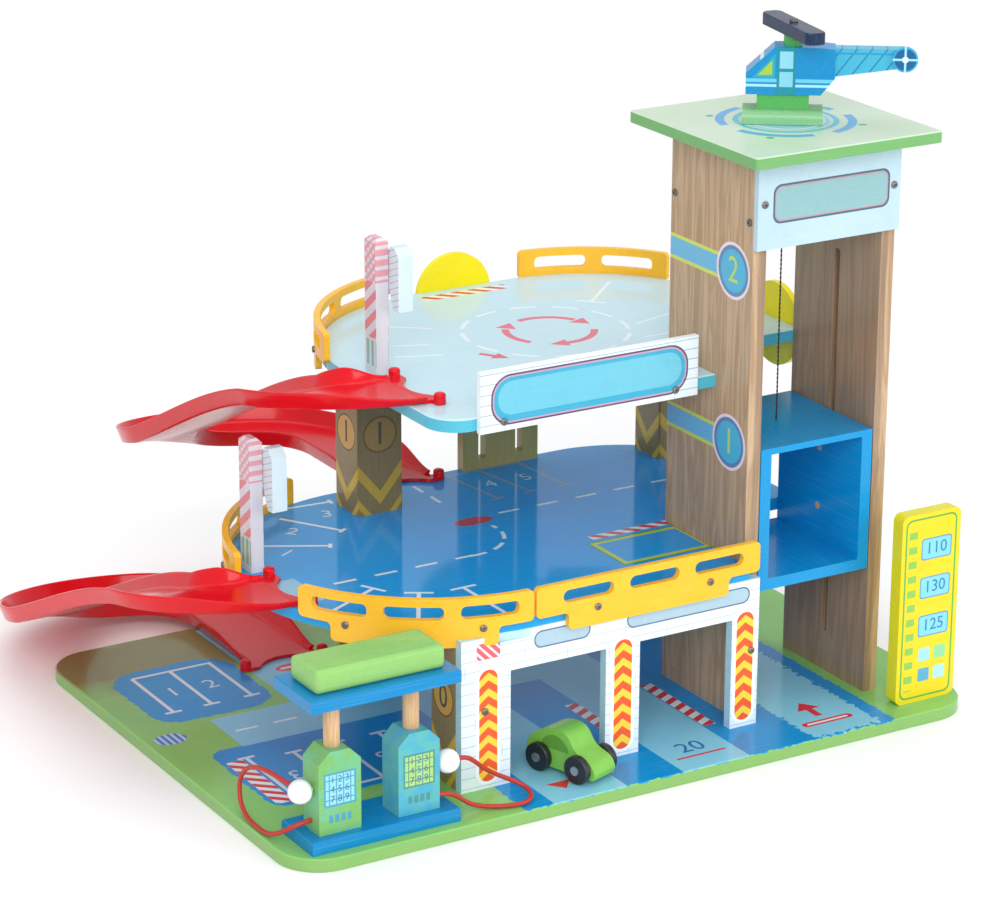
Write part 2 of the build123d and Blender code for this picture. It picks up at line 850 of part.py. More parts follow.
def barrier_post(head, floor):
    """Square post with a bevelled top, bored for the boom's pivot pin."""
    x, y = barrier_place(head)
    with BuildPart() as post:
        with BuildSketch(Plane(origin=(x, y, floor))):
            Rectangle(post_x_size, post_y_size)
        extrude(amount=post_height)
        chamfer(post.edges().group_by(Axis.Z)[-1], post_peak)
        with BuildSketch(
            Plane(origin=(x + post_x_size / 2, y, floor + boom_pivot_height), z_dir=(-1, 0, 0))
        ):
            Circle(boom_pin_radius)
        extrude(amount=pin_bite, mode=Mode.SUBTRACT)
    return post


def barrier_boom(head, floor):
    """Raised barrier arm: bevelled block with a rear ear round its pivot pin."""
    x, y = barrier_place(head)
    low = boom_pivot_height - boom_drop
    high = low + boom_length
    front = -boom_reach - boom_width
    back = -boom_reach
    frame = Plane(origin=(x + boom_inner, y, floor), x_dir=(0, 1, 0), z_dir=(1, 0, 0))
    with BuildPart() as boom:
        with BuildSketch(frame):
            with BuildLine():
                Polyline(
                    (front, low),
                    (back - boom_heel_cut, low),
                    (back, low + boom_heel_rise),
                    (back, high - boom_tip_chamfer),
                    (back - boom_tip_chamfer, high),
                    (front + boom_tip_chamfer, high),
                    (front, high - boom_tip_chamfer),
                    close=True,
                )
            make_face()
            with Locations((0, boom_pivot_height)):
                Circle(boom_ear_radius)
            with Locations((-boom_ear_reach / 2, boom_pivot_height + boom_ear_radius / 2)):
                Rectangle(boom_ear_reach, boom_ear_radius)
            with Locations((0, boom_pivot_height)):
                Circle(boom_pin_radius + boom_pin_gap, mode=Mode.SUBTRACT)
        extrude(amount=boom_thickness)
    return boom


with BuildPart() as barrier_pins:
    for head, floor in ((ramp_lower_head, deck_1_top), (ramp_upper_head, deck_2_top)):
        x, y = barrier_place(head)
        start = x + post_x_size / 2 - pin_bite
        length = pin_bite + 2 * boom_gap + boom_thickness
        frame = Plane(
            origin=(start, y, floor + boom_pivot_height), x_dir=(0, 1, 0), z_dir=(1, 0, 0)
        )
        with BuildSketch(frame):
            Circle(boom_pin_radius)
        extrude(amount=length)
        with BuildSketch(frame.offset(length)):
            Circle(boom_pin_head)
        extrude(amount=boom_pin_head_height)
save(barrier_pins, "barrier_pins")
save(barrier_post(ramp_lower_head, deck_1_top), "barrier_post_lower")
save(barrier_post(ramp_upper_head, deck_2_top), "barrier_post_upper")
save(barrier_boom(ramp_lower_head, deck_1_top), "barrier_boom_lower")
save(barrier_boom(ramp_upper_head, deck_2_top), "barrier_boom_upper")

# ================================================================== fuel island
island_x = (island_left + island_right) / 2
island_length = island_right - island_left
island_top = board_thickness + island_thickness
pump_top = island_top + pump_height
with BuildPart() as pump_base:
    with BuildSketch(Plane(origin=(island_x, island_front + island_depth / 2, board_thickness))):
        Rectangle(island_length, island_depth)
    extrude(amount=island_thickness)
    chamfer(pump_base.edges().group_by(Axis.Z)[-1], deck_edge_break)
save(pump_base, "pump_base")

bead_z = board_thickness + bead_height


def fuel_pump(x, side, bead_y):
    """Pump block with cut shoulders, a column socket and a nozzle hole in its side."""
    half = pump_width / 2
    with BuildPart() as pump:
        with BuildSketch(Plane.XZ.offset(pump_depth / 2 - pump_y)):
            with BuildLine():
                Polyline(
                    (x - half, island_top),
                    (x + half, island_top),
                    (x + half, pump_top - pump_shoulder),
                    (x + half - pump_shoulder, pump_top),
                    (x - half + pump_shoulder, pump_top),
                    (x - half, pump_top - pump_shoulder),
                    close=True,
                )
            make_face()
        extrude(amount=-pump_depth)
        with Locations((x, pump_y, pump_top)):
            Hole(column_radius, depth=column_socket)
        nozzle_mouth = Plane(origin=(x + side * half, bead_y, bead_z), z_dir=(side, 0, 0))
        with Locations(nozzle_mouth):
            Hole(nozzle_radius + nozzle_gap, depth=nozzle_depth + 1)
    return pump


save(fuel_pump(pump_green_x, -1, bead_left_y), "pump_green")
save(fuel_pump(pump_blue_x, 1, bead_right_y), "pump_blue")

with BuildPart() as canopy_columns:
    with BuildSketch(Plane.XY.offset(pump_top - column_socket)):
        with Locations((pump_green_x, pump_y), (pump_blue_x, pump_y)):
            Circle(column_radius)
    extrude(amount=canopy_underside - pump_top + column_socket)
save(canopy_columns, "canopy_columns")

with BuildPart() as canopy_plate:
    with BuildSketch(Plane(origin=(island_x, canopy_y, canopy_underside))):
        Rectangle(island_length, canopy_depth)
    extrude(amount=canopy_thickness)
    chamfer(canopy_plate.edges().group_by(Axis.Z)[-1], deck_edge_break)
save(canopy_plate, "canopy_plate")

with BuildPart() as canopy_block:
    with BuildSketch(Plane(origin=(island_x, canopy_y, canopy_underside + canopy_thickness))):
        Rectangle(canopy_block_length, canopy_block_depth)
    extrude(amount=canopy_block_height)
    chamfer(canopy_block.edges().group_by(Axis.Z)[-1], canopy_block_bevel)
save(canopy_block, "canopy_block")

bead_left_x = pump_green_x - pump_width / 2 - bead_gap - bead_radius
bead_right_x = pump_blue_x + pump_width / 2 + bead_gap + bead_radius


def hose_bead(x, y, side):
    """Round wooden nozzle bead with a stub that plugs into the pump's side."""
    stub_end = bead_radius + bead_gap + nozzle_depth
    meet = math.degrees(math.asin(nozzle_radius / bead_radius))
    frame = Plane(origin=(x, y, bead_z), x_dir=(side, 0, 0), z_dir=(0, 1, 0))
    with BuildPart() as bead:
        with BuildSketch(frame):
            with BuildLine():
                skin = CenterArc((0, 0), bead_radius, meet, 180 - meet)
                Polyline(skin @ 0, (stub_end, nozzle_radius), (stub_end, 0), skin @ 1)
            make_face()
        revolve(axis=Axis(frame.origin, frame.x_dir))
    return bead


save(hose_bead(bead_left_x, bead_left_y, 1), "hose_bead_left")
save(hose_bead(bead_right_x, bead_right_y, -1), "hose_bead_right")

# Hose routes, from the pump's side to the bead, chosen by hand.
hose_left_route = [
    (-274.0, -193.0, 29.0),
    (-284.5, -192.5, 28.0),
    (-293.0, -184.0, 20.0),
    (-296.5, -169.0, 13.0),
    (-297.0, -151.0, 12.2),
    (-296.5, -133.0, 13.5),
    (-294.5, -120.0, 21.0),
    (-293.0, -117.0, 35.0),
    (-292.5, -126.5, 48.0),
    (-292.0, -143.5, 55.5),
    (-290.0, -162.0, 57.5),
    (-286.8, -176.5, 55.5),
    (bead_left_x, bead_left_y + bead_radius + hose_end_gap, bead_z + 0.4),
]
hose_right_route = [
    (-175.5, -202.0, 30.0),
    (-166.0, -202.0, 29.0),
    (-156.5, -200.5, 22.5),
    (-147.0, -201.5, 14.8),
    (-133.5, -207.0, 12.2),
    (-119.0, -213.0, 12.2),
    (-106.0, -214.0, 12.6),
    (-97.5, -206.0, 13.8),
    (-98.0, -195.0, 16.5),
    (-107.5, -188.5, 21.5),
    (-120.0, -188.5, 28.5),
    (-131.5, -191.5, 37.0),
    (-141.5, -195.5, 46.5),
    (-149.5, -198.5, 52.3),
    (bead_right_x + bead_radius + hose_end_gap, bead_right_y, bead_z + 0.2),
]


def cord_radii(route):
    """Bend radius at each inner point: 0.45 of the shorter run over the half turn's tangent."""
    radii = []
    for before, here, after in zip(route, route[1:], route[2:]):
        arriving = Vector(*here) - Vector(*before)
        leaving = Vector(*after) - Vector(*here)
        half_turn = math.radians(arriving.get_angle(leaving)) / 2
        radii.append(0.45 * min(arriving.length, leaving.length) / math.tan(half_turn))
    return radii


def hose(route, name):
    """Round hose along a hand-laid route of straight runs and tangent arcs."""
    radii = cord_radii(route)
    with BuildPart() as tube:
        with BuildLine() as path:
            FilletPolyline(*route, radius=radii)
        start = Plane(origin=path.wire() @ 0, z_dir=path.wire() % 0)
        with BuildSketch(start):
            Circle(hose_diameter / 2)
        sweep()
    length = path.wire().length
    section = math.pi * (hose_diameter / 2) ** 2
    print(name, "length", round(length, 1), "radii", [round(radius, 1) for radius in radii])
    print(name, "volume over section x length", round(tube.part.volume / (section * length), 4))
    return tube


save(hose(hose_left_route, "hose_left"), "hose_left")
save(hose(hose_right_route, "hose_right"), "hose_right")

# ================================================================== price board
with BuildPart() as price_board:
    with BuildSketch(Plane.XZ.offset(-price_back)):
        with Locations((price_left + price_width / 2, board_thickness + price_height / 2)):
            RectangleRounded(price_width, price_height, price_corner)
    extrude(amount=price_thickness)
save(price_board, "price_board")

# ================================================================== helicopter
skid_bottom = roof_top + heli_seat_gap
neck_bottom = skid_bottom + skid_height
heli_bottom = neck_bottom + neck_height
heli_top = heli_bottom + heli_height
heli_turn = math.radians(heli_heading)
heli_axis = (math.cos(heli_turn), math.sin(heli_turn), 0)
heli_side = Plane(
    origin=(heli_x, heli_y, heli_bottom), x_dir=heli_axis, z_dir=(heli_axis[1], -heli_axis[0], 0)
)


def heli_deck(z, along=0.0):
    """Level plane on the helicopter's own axes, along its length from the middle of its skid."""
    origin = (heli_x + along * heli_axis[0], heli_y + along * heli_axis[1], z)
    return Plane(origin=origin, x_dir=heli_axis)


with BuildPart() as heli_undercarriage:
    with BuildSketch(heli_deck(skid_bottom)):
        Rectangle(skid_length, skid_width)
    extrude(amount=skid_height)
    top_edges = heli_undercarriage.edges().group_by(Axis.Z)[-1]
    fillet([edge for edge in top_edges if edge.length > skid_width + 1], skid_height * 0.6)
    with BuildSketch(heli_deck(neck_bottom)):
        Rectangle(neck_length, neck_width)
    extrude(amount=neck_height)
save(heli_undercarriage, "heli_undercarriage")

tail_height = heli_height - tail_top_drop - tail_round
with BuildPart() as heli_body:
    with BuildSketch(heli_side.offset(-heli_thickness / 2)):
        with BuildLine():
            Polyline(
                (heli_nose, 0),
                (-heli_nose, 0),
                (heli_rear, heli_height * 0.37),
                (heli_rear, heli_height - tail_top_drop),
                (heli_rear - 10, heli_height),
                (heli_nose + 21, heli_height),
                (heli_nose, heli_height * 0.45),
                close=True,
            )
        make_face()
    extrude(amount=heli_thickness)
    with BuildSketch(heli_side.offset(-tail_thickness / 2)):
        with BuildLine():
            Polyline(
                (heli_rear - 2, heli_height * 0.37),
                (tail_end, tail_height - tail_round),
                (tail_end, tail_height + tail_round),
                (heli_rear - 2, heli_height - tail_top_drop),
                close=True,
            )
        make_face()
        with Locations((tail_end, tail_height)):
            Circle(tail_round)
    extrude(amount=tail_thickness)
    with Locations(heli_deck(heli_top, mast_along)):
        Hole(blade_screw_radius, depth=blade_screw_bite)
save(heli_body, "heli_body")

with BuildPart() as heli_tail_disc:
    with BuildSketch(heli_side.offset(tail_thickness / 2)):
        with Locations((tail_end, tail_height)):
            Circle(tail_disc_radius)
    extrude(amount=tail_disc_thickness)
save(heli_tail_disc, "heli_tail_disc")

with BuildPart() as heli_mast:
    with BuildSketch(heli_deck(heli_top, mast_along)):
        Circle(mast_radius)
        Circle(blade_screw_radius, mode=Mode.SUBTRACT)
    extrude(amount=mast_height)
save(heli_mast, "heli_mast")

blade_bottom = heli_top + mast_height + blade_gap
blade_axes = (math.cos(math.radians(blade_turn)), math.sin(math.radians(blade_turn)), 0)
with BuildPart() as heli_blade:
    with BuildSketch(Plane(origin=heli_deck(blade_bottom, mast_along).origin, x_dir=blade_axes)):
        RectangleRounded(blade_length, blade_width, blade_corner)
        Circle(blade_screw_radius + blade_screw_gap, mode=Mode.SUBTRACT)
    extrude(amount=blade_thickness)
    chamfer(heli_blade.edges().group_by(Axis.Z)[-1].filter_by(GeomType.LINE), 0.8)
save(heli_blade, "heli_blade")

with BuildPart() as heli_rotor_screw:
    with BuildSketch(heli_deck(heli_top - blade_screw_bite, mast_along)):
        Circle(blade_screw_radius)
    extrude(amount=blade_screw_bite + mast_height + blade_thickness + 2 * blade_gap)
    with BuildSketch(heli_deck(blade_bottom + blade_thickness + blade_gap, mast_along)):
        Circle(blade_screw_head)
    extrude(amount=blade_screw_head_height)
save(heli_rotor_screw, "heli_rotor_screw")

# ================================================================== toy car
car_forward = (math.cos(math.radians(car_heading)), math.sin(math.radians(car_heading)), 0)
car_left = (-car_forward[1], car_forward[0], 0)
car_origin = Vector(car_x, car_y, board_thickness + wheel_board_gap)
car_side = Plane(origin=car_origin, x_dir=car_forward, z_dir=(car_forward[1], -car_forward[0], 0))

with BuildPart() as car_body:
    with BuildSketch(car_side.offset(-car_body_width / 2)):
        with BuildLine():
            tail = (-car_nose, car_clearance + 6)
            hood = (car_nose - 7, car_clearance + 14)
            Spline(
                tail,
                (-car_nose + 1, car_clearance + 17),
                (-car_nose + 11, car_clearance + 26.5),
                (-6, car_clearance + car_roof_height),
                (6, car_clearance + 29),
                (14, car_clearance + 19),
                hood,
                (car_nose, car_clearance + 5),
            )
            Polyline(
                (car_nose, car_clearance + 5),
                (car_nose - 2, car_clearance),
                (2 - car_nose, car_clearance),
                tail,
            )
        make_face()
        with Locations((-wheel_base / 2, wheel_radius), (wheel_base / 2, wheel_radius)):
            Circle(axle_radius + axle_gap, mode=Mode.SUBTRACT)
    extrude(amount=car_body_width)
save(car_body, "car_body")


def wheel_set(along):
    """Two wheels on one steel axle with hub caps."""
    axle_half = car_body_width / 2 + wheel_gap + wheel_thickness
    with BuildPart() as wheels:
        for side in (-1, 1):
            inner = car_body_width / 2 + wheel_gap
            frame = Plane(
                origin=car_side.from_local_coords((along, wheel_radius, side * inner)),
                x_dir=car_forward,
                z_dir=car_side.z_dir * side,
            )
            with BuildSketch(frame):
                Circle(wheel_radius)
            extrude(amount=wheel_thickness)
            with BuildSketch(frame.offset(wheel_thickness)):
                Circle(hub_radius)
            extrude(amount=hub_thickness)
        start = car_side.from_local_coords((along, wheel_radius, -axle_half))
        with BuildSketch(Plane(origin=start, x_dir=car_forward, z_dir=car_side.z_dir)):
            Circle(axle_radius)
        extrude(amount=2 * axle_half)
        circles = wheels.edges().filter_by(GeomType.CIRCLE)
        fillet([edge for edge in circles if abs(edge.radius - wheel_radius) < 0.01], 1.2)
    return wheels


save(wheel_set(wheel_base / 2), "car_wheels_front")
save(wheel_set(-wheel_base / 2), "car_wheels_rear")

# ================================================================== wood screws
def on_arc(centre, radius, angle, z):
    """Plane on a rail's outer face, z pointing inward."""
    turn = math.radians(angle)
    outward = (math.cos(turn), math.sin(turn), 0)
    origin = (centre[0] + radius * outward[0], centre[1] + radius * outward[1], z)
    return Plane(origin=origin, x_dir=(0, 0, 1), z_dir=(-outward[0], -outward[1], 0))


def facing_front(x, y, z):
    """Plane on a front face, z pointing inward."""
    return Plane(origin=(x, y, z), x_dir=(1, 0, 0), z_dir=(0, 1, 0))


screw_rail_z = rail_screw_z - deck_thickness
screw_planes = []
for x in (straight_rail_middle - 50, straight_rail_middle + 50):
    screw_planes.append(facing_front(x, deck_1_front - rail_thickness, deck_1_top + screw_rail_z))
rail_screws = [
    (deck_1_arc, deck_1_arc_radius, front_rail_angles, deck_1_top),
    (deck_1_arc, deck_1_arc_radius, left_rail_angles, deck_1_top),
    (deck_2_arc, deck_2_arc_radius, upper_left_rail_angles, deck_2_top),
    (deck_2_right_centre, deck_2_right_radius, upper_back_rail_angles, deck_2_top),
]
for centre, radius, angles, top in rail_screws:
    for share in (0.22, 0.78):
        angle = angles[0] + share * (angles[1] - angles[0])
        screw_planes.append(on_arc(centre, radius + rail_thickness, angle, top + screw_rail_z))
for x in (tower_left + panel_thickness / 2, tower_right - panel_thickness / 2):
    screw_planes.append(facing_front(x, tower_front - header_thickness, header_screw_z))
for x in (pillar_front_left[0], tower_left + panel_thickness / 2 - 3):
    screw_planes.append(facing_front(x, tower_front - facade_thickness, facade_screw_z))
for x in (-billboard_width / 2 + 20, billboard_width / 2 - 20):
    screw_planes.append(
        facing_front(x, deck_2_front - billboard_thickness, deck_2_top - deck_thickness / 2)
    )
for y in (tower_front + batten_thickness / 2, tower_back - batten_thickness / 2):
    screw_planes.append(Plane(origin=(tower_left, y, batten_z), z_dir=(1, 0, 0)))
    screw_planes.append(Plane(origin=(tower_right, y, batten_z), z_dir=(-1, 0, 0)))

with BuildPart() as wood_screws:
    for place in screw_planes:
        with BuildSketch(place.offset(-screw_head_height)):
            Circle(screw_head_radius)
        extrude(amount=screw_head_height)
        with BuildSketch(place):
            Circle(screw_shank_radius)
        extrude(amount=screw_length)
save(wood_screws, "wood_screws")
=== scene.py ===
import math

import bmesh
import bpy
from mathutils import Matrix, Vector


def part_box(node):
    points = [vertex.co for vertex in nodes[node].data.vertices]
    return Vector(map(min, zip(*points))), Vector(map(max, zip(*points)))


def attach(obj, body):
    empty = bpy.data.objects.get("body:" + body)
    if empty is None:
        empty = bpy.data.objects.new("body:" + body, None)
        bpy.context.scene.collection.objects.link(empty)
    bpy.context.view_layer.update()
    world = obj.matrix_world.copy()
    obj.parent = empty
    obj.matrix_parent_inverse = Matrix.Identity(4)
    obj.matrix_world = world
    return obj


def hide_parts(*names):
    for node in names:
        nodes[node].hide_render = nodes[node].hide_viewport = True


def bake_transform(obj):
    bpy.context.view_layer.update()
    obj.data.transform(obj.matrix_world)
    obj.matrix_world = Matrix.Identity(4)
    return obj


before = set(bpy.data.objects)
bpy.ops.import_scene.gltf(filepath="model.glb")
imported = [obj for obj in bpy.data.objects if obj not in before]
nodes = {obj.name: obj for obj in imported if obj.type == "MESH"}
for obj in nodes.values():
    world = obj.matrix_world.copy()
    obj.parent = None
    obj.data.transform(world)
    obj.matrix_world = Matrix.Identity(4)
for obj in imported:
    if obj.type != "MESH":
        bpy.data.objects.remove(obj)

scene = bpy.context.scene
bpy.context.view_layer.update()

# ==== Camera
# It stands in front of the toy, to its left and above it, a long way off with a long lens.
# Its place and lens were solved from the toy's corners and uprights.
eye = Vector((-1.34798, -2.25616, 1.11039))
yaw, pitch, roll = 0.5411, -0.3426, 0.0053
ahead = Vector((math.sin(yaw) * math.cos(pitch), math.cos(yaw) * math.cos(pitch), math.sin(pitch)))
level = Vector((math.cos(yaw), -math.sin(yaw), 0))
upright = level.cross(ahead)
right = level * math.cos(roll) + upright * math.sin(roll)
top = upright * math.cos(roll) - level * math.sin(roll)
camera = bpy.data.objects.new("camera", bpy.data.cameras.new("camera"))
scene.collection.objects.link(camera)
camera.matrix_world = Matrix.Translation(eye) @ Matrix((right, top, -ahead)).transposed().to_4x4()
camera.data.sensor_width = 36.0
camera.data.lens = 128.84
camera.data.shift_x = -0.0127
camera.data.shift_y = 0.0341
camera.data.clip_end = 60.0
scene.camera = camera


# ==== Fuel hoses and nozzle beads
# Limp brick-red cords, glued into the pumps' sides. Each ends in a white lacquered bead that
# plugs into the pump and stands for its nozzle.
def tint(code):
    """Linear colour of a paint or ink given by its six-digit screen code."""
    shares = [int(code[i:i + 2], 16) / 255 for i in (0, 2, 4)]
    return tuple(c / 12.92 if c < 0.04045 else ((c + 0.055) / 1.055) ** 2.4 for c in shares) + (1,)


class Flow:
    """A value on its way through a paint's nodes: the usual operators add Math nodes to it."""

    def __init__(self, paint, socket):
        self.paint = paint
        self.socket = socket

    def math(self, operation, *others, clamp=False):
        settings = {"operation": operation, "use_clamp": clamp}
        return self.paint.node("ShaderNodeMath", settings, dict(enumerate((self, *others))))

    def __add__(self, other):
        return self.math("ADD", other)

    def __sub__(self, other):
        return self.math("SUBTRACT", other)

    def __mul__(self, other):
        return self.math("MULTIPLY", other)

    def __truediv__(self, other):
        return self.math("DIVIDE", other)

    def __mod__(self, other):
        return self.math("FLOORED_MODULO", other)

    def __or__(self, other):
        return self.math("MAXIMUM", other)

    def __and__(self, other):
        return self.math("MINIMUM", other)

    def __rsub__(self, other):
        return self.paint.node("ShaderNodeMath", {"operation": "SUBTRACT"}, {0: other, 1: self})

    def __neg__(self):
        return self * -1

    def __abs__(self):
        return self.math("ABSOLUTE")

    __radd__ = __add__
    __rmul__ = __mul__

    def edge(self, blur=0.3):
        """1 where a distance into a shape is positive, with a soft edge of that many mm."""
        return self.math("MULTIPLY_ADD", 1 / blur, 0.5, clamp=True)

    def held(self, low, high):
        """The value kept between two numbers."""
        return self.math("MAXIMUM", low).math("MINIMUM", high)


class Paint:
    """One finish, read in millimetres from the piece's own place on the toy."""

    def __init__(self, name, **constants):
        self.material = bpy.data.materials.new(name)
        self.material.use_nodes = True
        self.tree = self.material.node_tree
        self.shader = self.tree.nodes["Principled BSDF"]
        for socket, value in constants.items():
            self.shader.inputs[socket.replace("_", " ")].default_value = value
        place = self.node("ShaderNodeTexCoord", {}, {}, "Object")
        self.place = self.node(
            "ShaderNodeVectorMath", {"operation": "SCALE"}, {0: place, "Scale": 1000.0}
        )
        parts = self.node("ShaderNodeSeparateXYZ", {}, {0: self.place})
        self.axes = [Flow(self, parts.socket.node.outputs[i]) for i in range(3)]
        self.x, self.y, self.z = self.axes

    def node(self, kind, settings, inputs, output=0):
        made = self.tree.nodes.new(kind)
        for key, value in settings.items():
            if key == "stops":
                for place, colour in value[1:-1]:
                    made.color_ramp.elements.new(place)
                for stop, (place, colour) in zip(made.color_ramp.elements, value):
                    stop.position = place
                    stop.color = tint(colour)
            else:
                setattr(made, key, value)
        for key, value in inputs.items():
            self.feed(made.inputs[key], value)
        return Flow(self, made.outputs[output])

    def feed(self, socket, value):
        """Gives a socket a link, a number or vector, or a colour by its six-digit code."""
        if isinstance(value, Flow):
            self.tree.links.new(value.socket, socket)
        else:
            socket.default_value = tint(value) if isinstance(value, str) else value

    def noise(self, size, detail=3.0, twist=0.0, offset=(0, 0, 0)):
        """Noise of about so many mm, one size for all or one each along x, y and z."""
        scale = tuple(1 / mm for mm in (size if isinstance(size, (tuple, list)) else (size,) * 3))
        placed = {0: self.place, 1: scale, 2: offset}
        spot = self.node("ShaderNodeVectorMath", {"operation": "MULTIPLY_ADD"}, placed)
        inputs = {"Vector": spot, "Scale": 1.0, "Detail": detail, "Distortion": twist}
        return self.node("ShaderNodeTexNoise", {}, inputs)

    def mix(self, share, first, second):
        return self.node("ShaderNodeMix", {"data_type": "RGBA"}, {0: share, 6: first, 7: second}, 2)

    def patchy(self, size, first, second):
        """Two close shades in soft patches of about so many mm."""
        return self.mix(self.noise(size), first, second)

    def switch(self, share, first, second):
        """One number or the other, by a share from 0 to 1."""
        return self.node("ShaderNodeMix", {"data_type": "FLOAT"}, {0: share, 2: first, 3: second})

    def layers(self, colour, *inks):
        """Inks printed one over the other: each is a shape (distance into it, mm) and a colour."""
        for shape, ink in inks:
            colour = self.mix(shape.edge(), colour, ink)
        return colour

    def finish(self, colour, roughness, height=None, relief=0.0001):
        """Feeds the shader; height is a pattern from 0 to 1, relief its depth in metres."""
        self.feed(self.shader.inputs["Base Color"], colour)
        self.feed(self.shader.inputs["Roughness"], roughness)
        if height is not None:
            bump = {"Height": height, "Strength": 1.0, "Distance": relief}
            self.feed(self.shader.inputs["Normal"], self.node("ShaderNodeBump", {}, bump))
        return self.material


def lacquer(paint, colour, roughness=0.25, relief=0.00002, grain=(60, 0.7, 0.7)):
    """Sprayed lacquer on wood: faint mottling, uneven gloss, the grain just telegraphing."""
    paint.shader.inputs["Specular IOR Level"].default_value = 0.25
    mottle = paint.noise(22, 4)
    lines = paint.noise(grain, 2)
    shaded = paint.mix(abs(mottle - 0.5) * 0.14, colour, "204860")
    worn = paint.mix((lines - 0.64).edge(0.2) * 0.05, shaded, "ffffff")
    uneven = paint.noise(9) * 0.16 + (roughness - 0.08)
    return paint.finish(worn, uneven, lines, relief)


def dress(material, *names):
    """Gives CAD nodes a material through their objects' slots."""
    for name in names:
        for slot in nodes[name].material_slots:
            slot.material = material


def add_piece(name, mesh, body, material=None, sharp=40):
    """Puts a finished mesh in the scene as a piece that rides on a CAD body."""
    piece = bpy.data.objects.new(name, mesh)
    scene.collection.objects.link(piece)
    if material is not None:
        mesh.materials.clear()
        mesh.materials.append(material)
    mesh.shade_smooth()
    mesh.set_sharp_from_angle(angle=math.radians(sharp))
    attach(piece, body)
    return piece


hose_diameter = 0.0035
hose_paint = Paint("hose_rubbed_red")
hose_weave = hose_paint.noise(1.2, 2)
hose_red = hose_paint.mix(hose_weave, "a8221a", "c93a2a")
hose_material = hose_paint.finish(hose_red, hose_weave * 0.25 + 0.35, hose_weave, 0.0002)

bead_paint = Paint("bead_white", Coat_Weight=0.15)
bead_material = lacquer(bead_paint, "f4f5f6", 0.2)

hose_routes = {
    "hose_left": (0.1815, [
        (-0.2740, -0.1930, 0.0290), (-0.2845, -0.1925, 0.0280), (-0.2930, -0.1840, 0.0200),
        (-0.2965, -0.1690, 0.0130), (-0.2970, -0.1510, 0.0122), (-0.2965, -0.1330, 0.0135),
        (-0.2945, -0.1200, 0.0210), (-0.2930, -0.1170, 0.0350), (-0.2925, -0.1265, 0.0480),
        (-0.2920, -0.1435, 0.0555), (-0.2900, -0.1620, 0.0575), (-0.2868, -0.1765, 0.0555),
        (-0.2833, -0.1847, 0.0539),
    ]),
    "hose_right": (0.1708, [
        (-0.1755, -0.2020, 0.0300), (-0.1660, -0.2020, 0.0290), (-0.1565, -0.2005, 0.0225),
        (-0.1470, -0.2015, 0.0148), (-0.1335, -0.2070, 0.0122), (-0.1190, -0.2130, 0.0122),
        (-0.1060, -0.2140, 0.0126), (-0.0975, -0.2060, 0.0138), (-0.0980, -0.1950, 0.0165),
        (-0.1075, -0.1885, 0.0215), (-0.1200, -0.1885, 0.0285), (-0.1315, -0.1915, 0.0370),
        (-0.1415, -0.1955, 0.0465), (-0.1495, -0.1985, 0.0523), (-0.1569, -0.2000, 0.0537),
    ]),
}
for hose_name, (hose_length, route) in hose_routes.items():
    line = bpy.data.curves.new(hose_name + "_line", "CURVE")
    line.dimensions = "3D"
    line.bevel_depth = hose_diameter / 2
    line.bevel_resolution = 5
    line.use_fill_caps = True
    line.resolution_u = 10
    spline = line.splines.new("NURBS")
    spline.points.add(len(route) - 1)
    for point, spot in zip(spline.points, route):
        point.co = (*spot, 1.0)
    spline.order_u = 3
    spline.use_endpoint_u = True
    spline.use_smooth = True
    line.materials.append(hose_material)
    hose = bpy.data.objects.new(hose_name + "_cord", line)
    scene.collection.objects.link(hose)
    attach(hose, "garage")
    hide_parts(hose_name)
dress(bead_material, "hose_bead_left", "hose_bead_right")


# ==== Baseboard
# Plywood board with rounded corners, painted grass green and printed with roads, parking
# bays and paving, then lacquered, with a darker olive patch of painted shade under the lower
# ramp's loop. Everything else stands on it.
def slab(value, low, high):
    """Distance in mm into the span from low to high."""
    return (high - low) / 2 - abs(value - (low + high) / 2)


def tile(x, y, left, right, low, high):
    return slab(x, left, right) & slab(y, low, high)


def reach(x, y):
    return (x * x + y * y).math("SQRT")


def disc(x, y, cx, cy, radius):
    return radius - reach(x - cx, y - cy)


def oval(x, y, cx, cy, half_x, half_y):
    """Distance into an upright ellipse, measured along its shorter half."""
    stretched = (x - cx) * (half_y / half_x)
    return half_y - reach(stretched, y - cy)


def hoop(x, y, cx, cy, radius, width):
    return width / 2 - abs(reach(x - cx, y - cy) - radius)


def cushion(x, y, left, right, low, high, corner):
    """Distance into a rectangle with rounded corners."""
    dx = abs(x - (left + right) / 2) - ((right - left) / 2 - corner)
    dy = abs(y - (low + high) / 2) - ((high - low) / 2 - corner)
    return corner - reach(dx.math("MAXIMUM", 0.0), dy.math("MAXIMUM", 0.0))


def turned(x, y, cx, cy, degrees):
    """Coordinates about a centre, along and across a direction."""
    c, s = math.cos(math.radians(degrees)), math.sin(math.radians(degrees))
    return x * c + y * s - (cx * c + cy * s), y * c - x * s - (cy * c - cx * s)


def stroke(x, y, start, end, width):
    """Straight painted line between two points."""
    dx, dy = end[0] - start[0], end[1] - start[1]
    along, across = turned(x, y, *start, math.degrees(math.atan2(dy, dx)))
    return slab(along, 0, math.hypot(dx, dy)) & (width / 2 - abs(across))


def tee(x, y, start, end, width, cross):
    """Bay mark: a line with a short cross-line at its end."""
    dx, dy = end[0] - start[0], end[1] - start[1]
    size = math.hypot(dx, dy)
    side = (-dy / size * cross / 2, dx / size * cross / 2)
    one = (end[0] - side[0], end[1] - side[1])
    two = (end[0] + side[0], end[1] + side[1])
    return stroke(x, y, start, end, width) | stroke(x, y, one, two, width)


def dashes(value, period, painted, shift=0.0):
    """Painted part of a broken line, along one value."""
    return painted / 2 - abs((value + shift) % period - period / 2)


def any_of(*shapes):
    together = shapes[0]
    for shape in shapes[1:]:
        together = together | shape
    return together


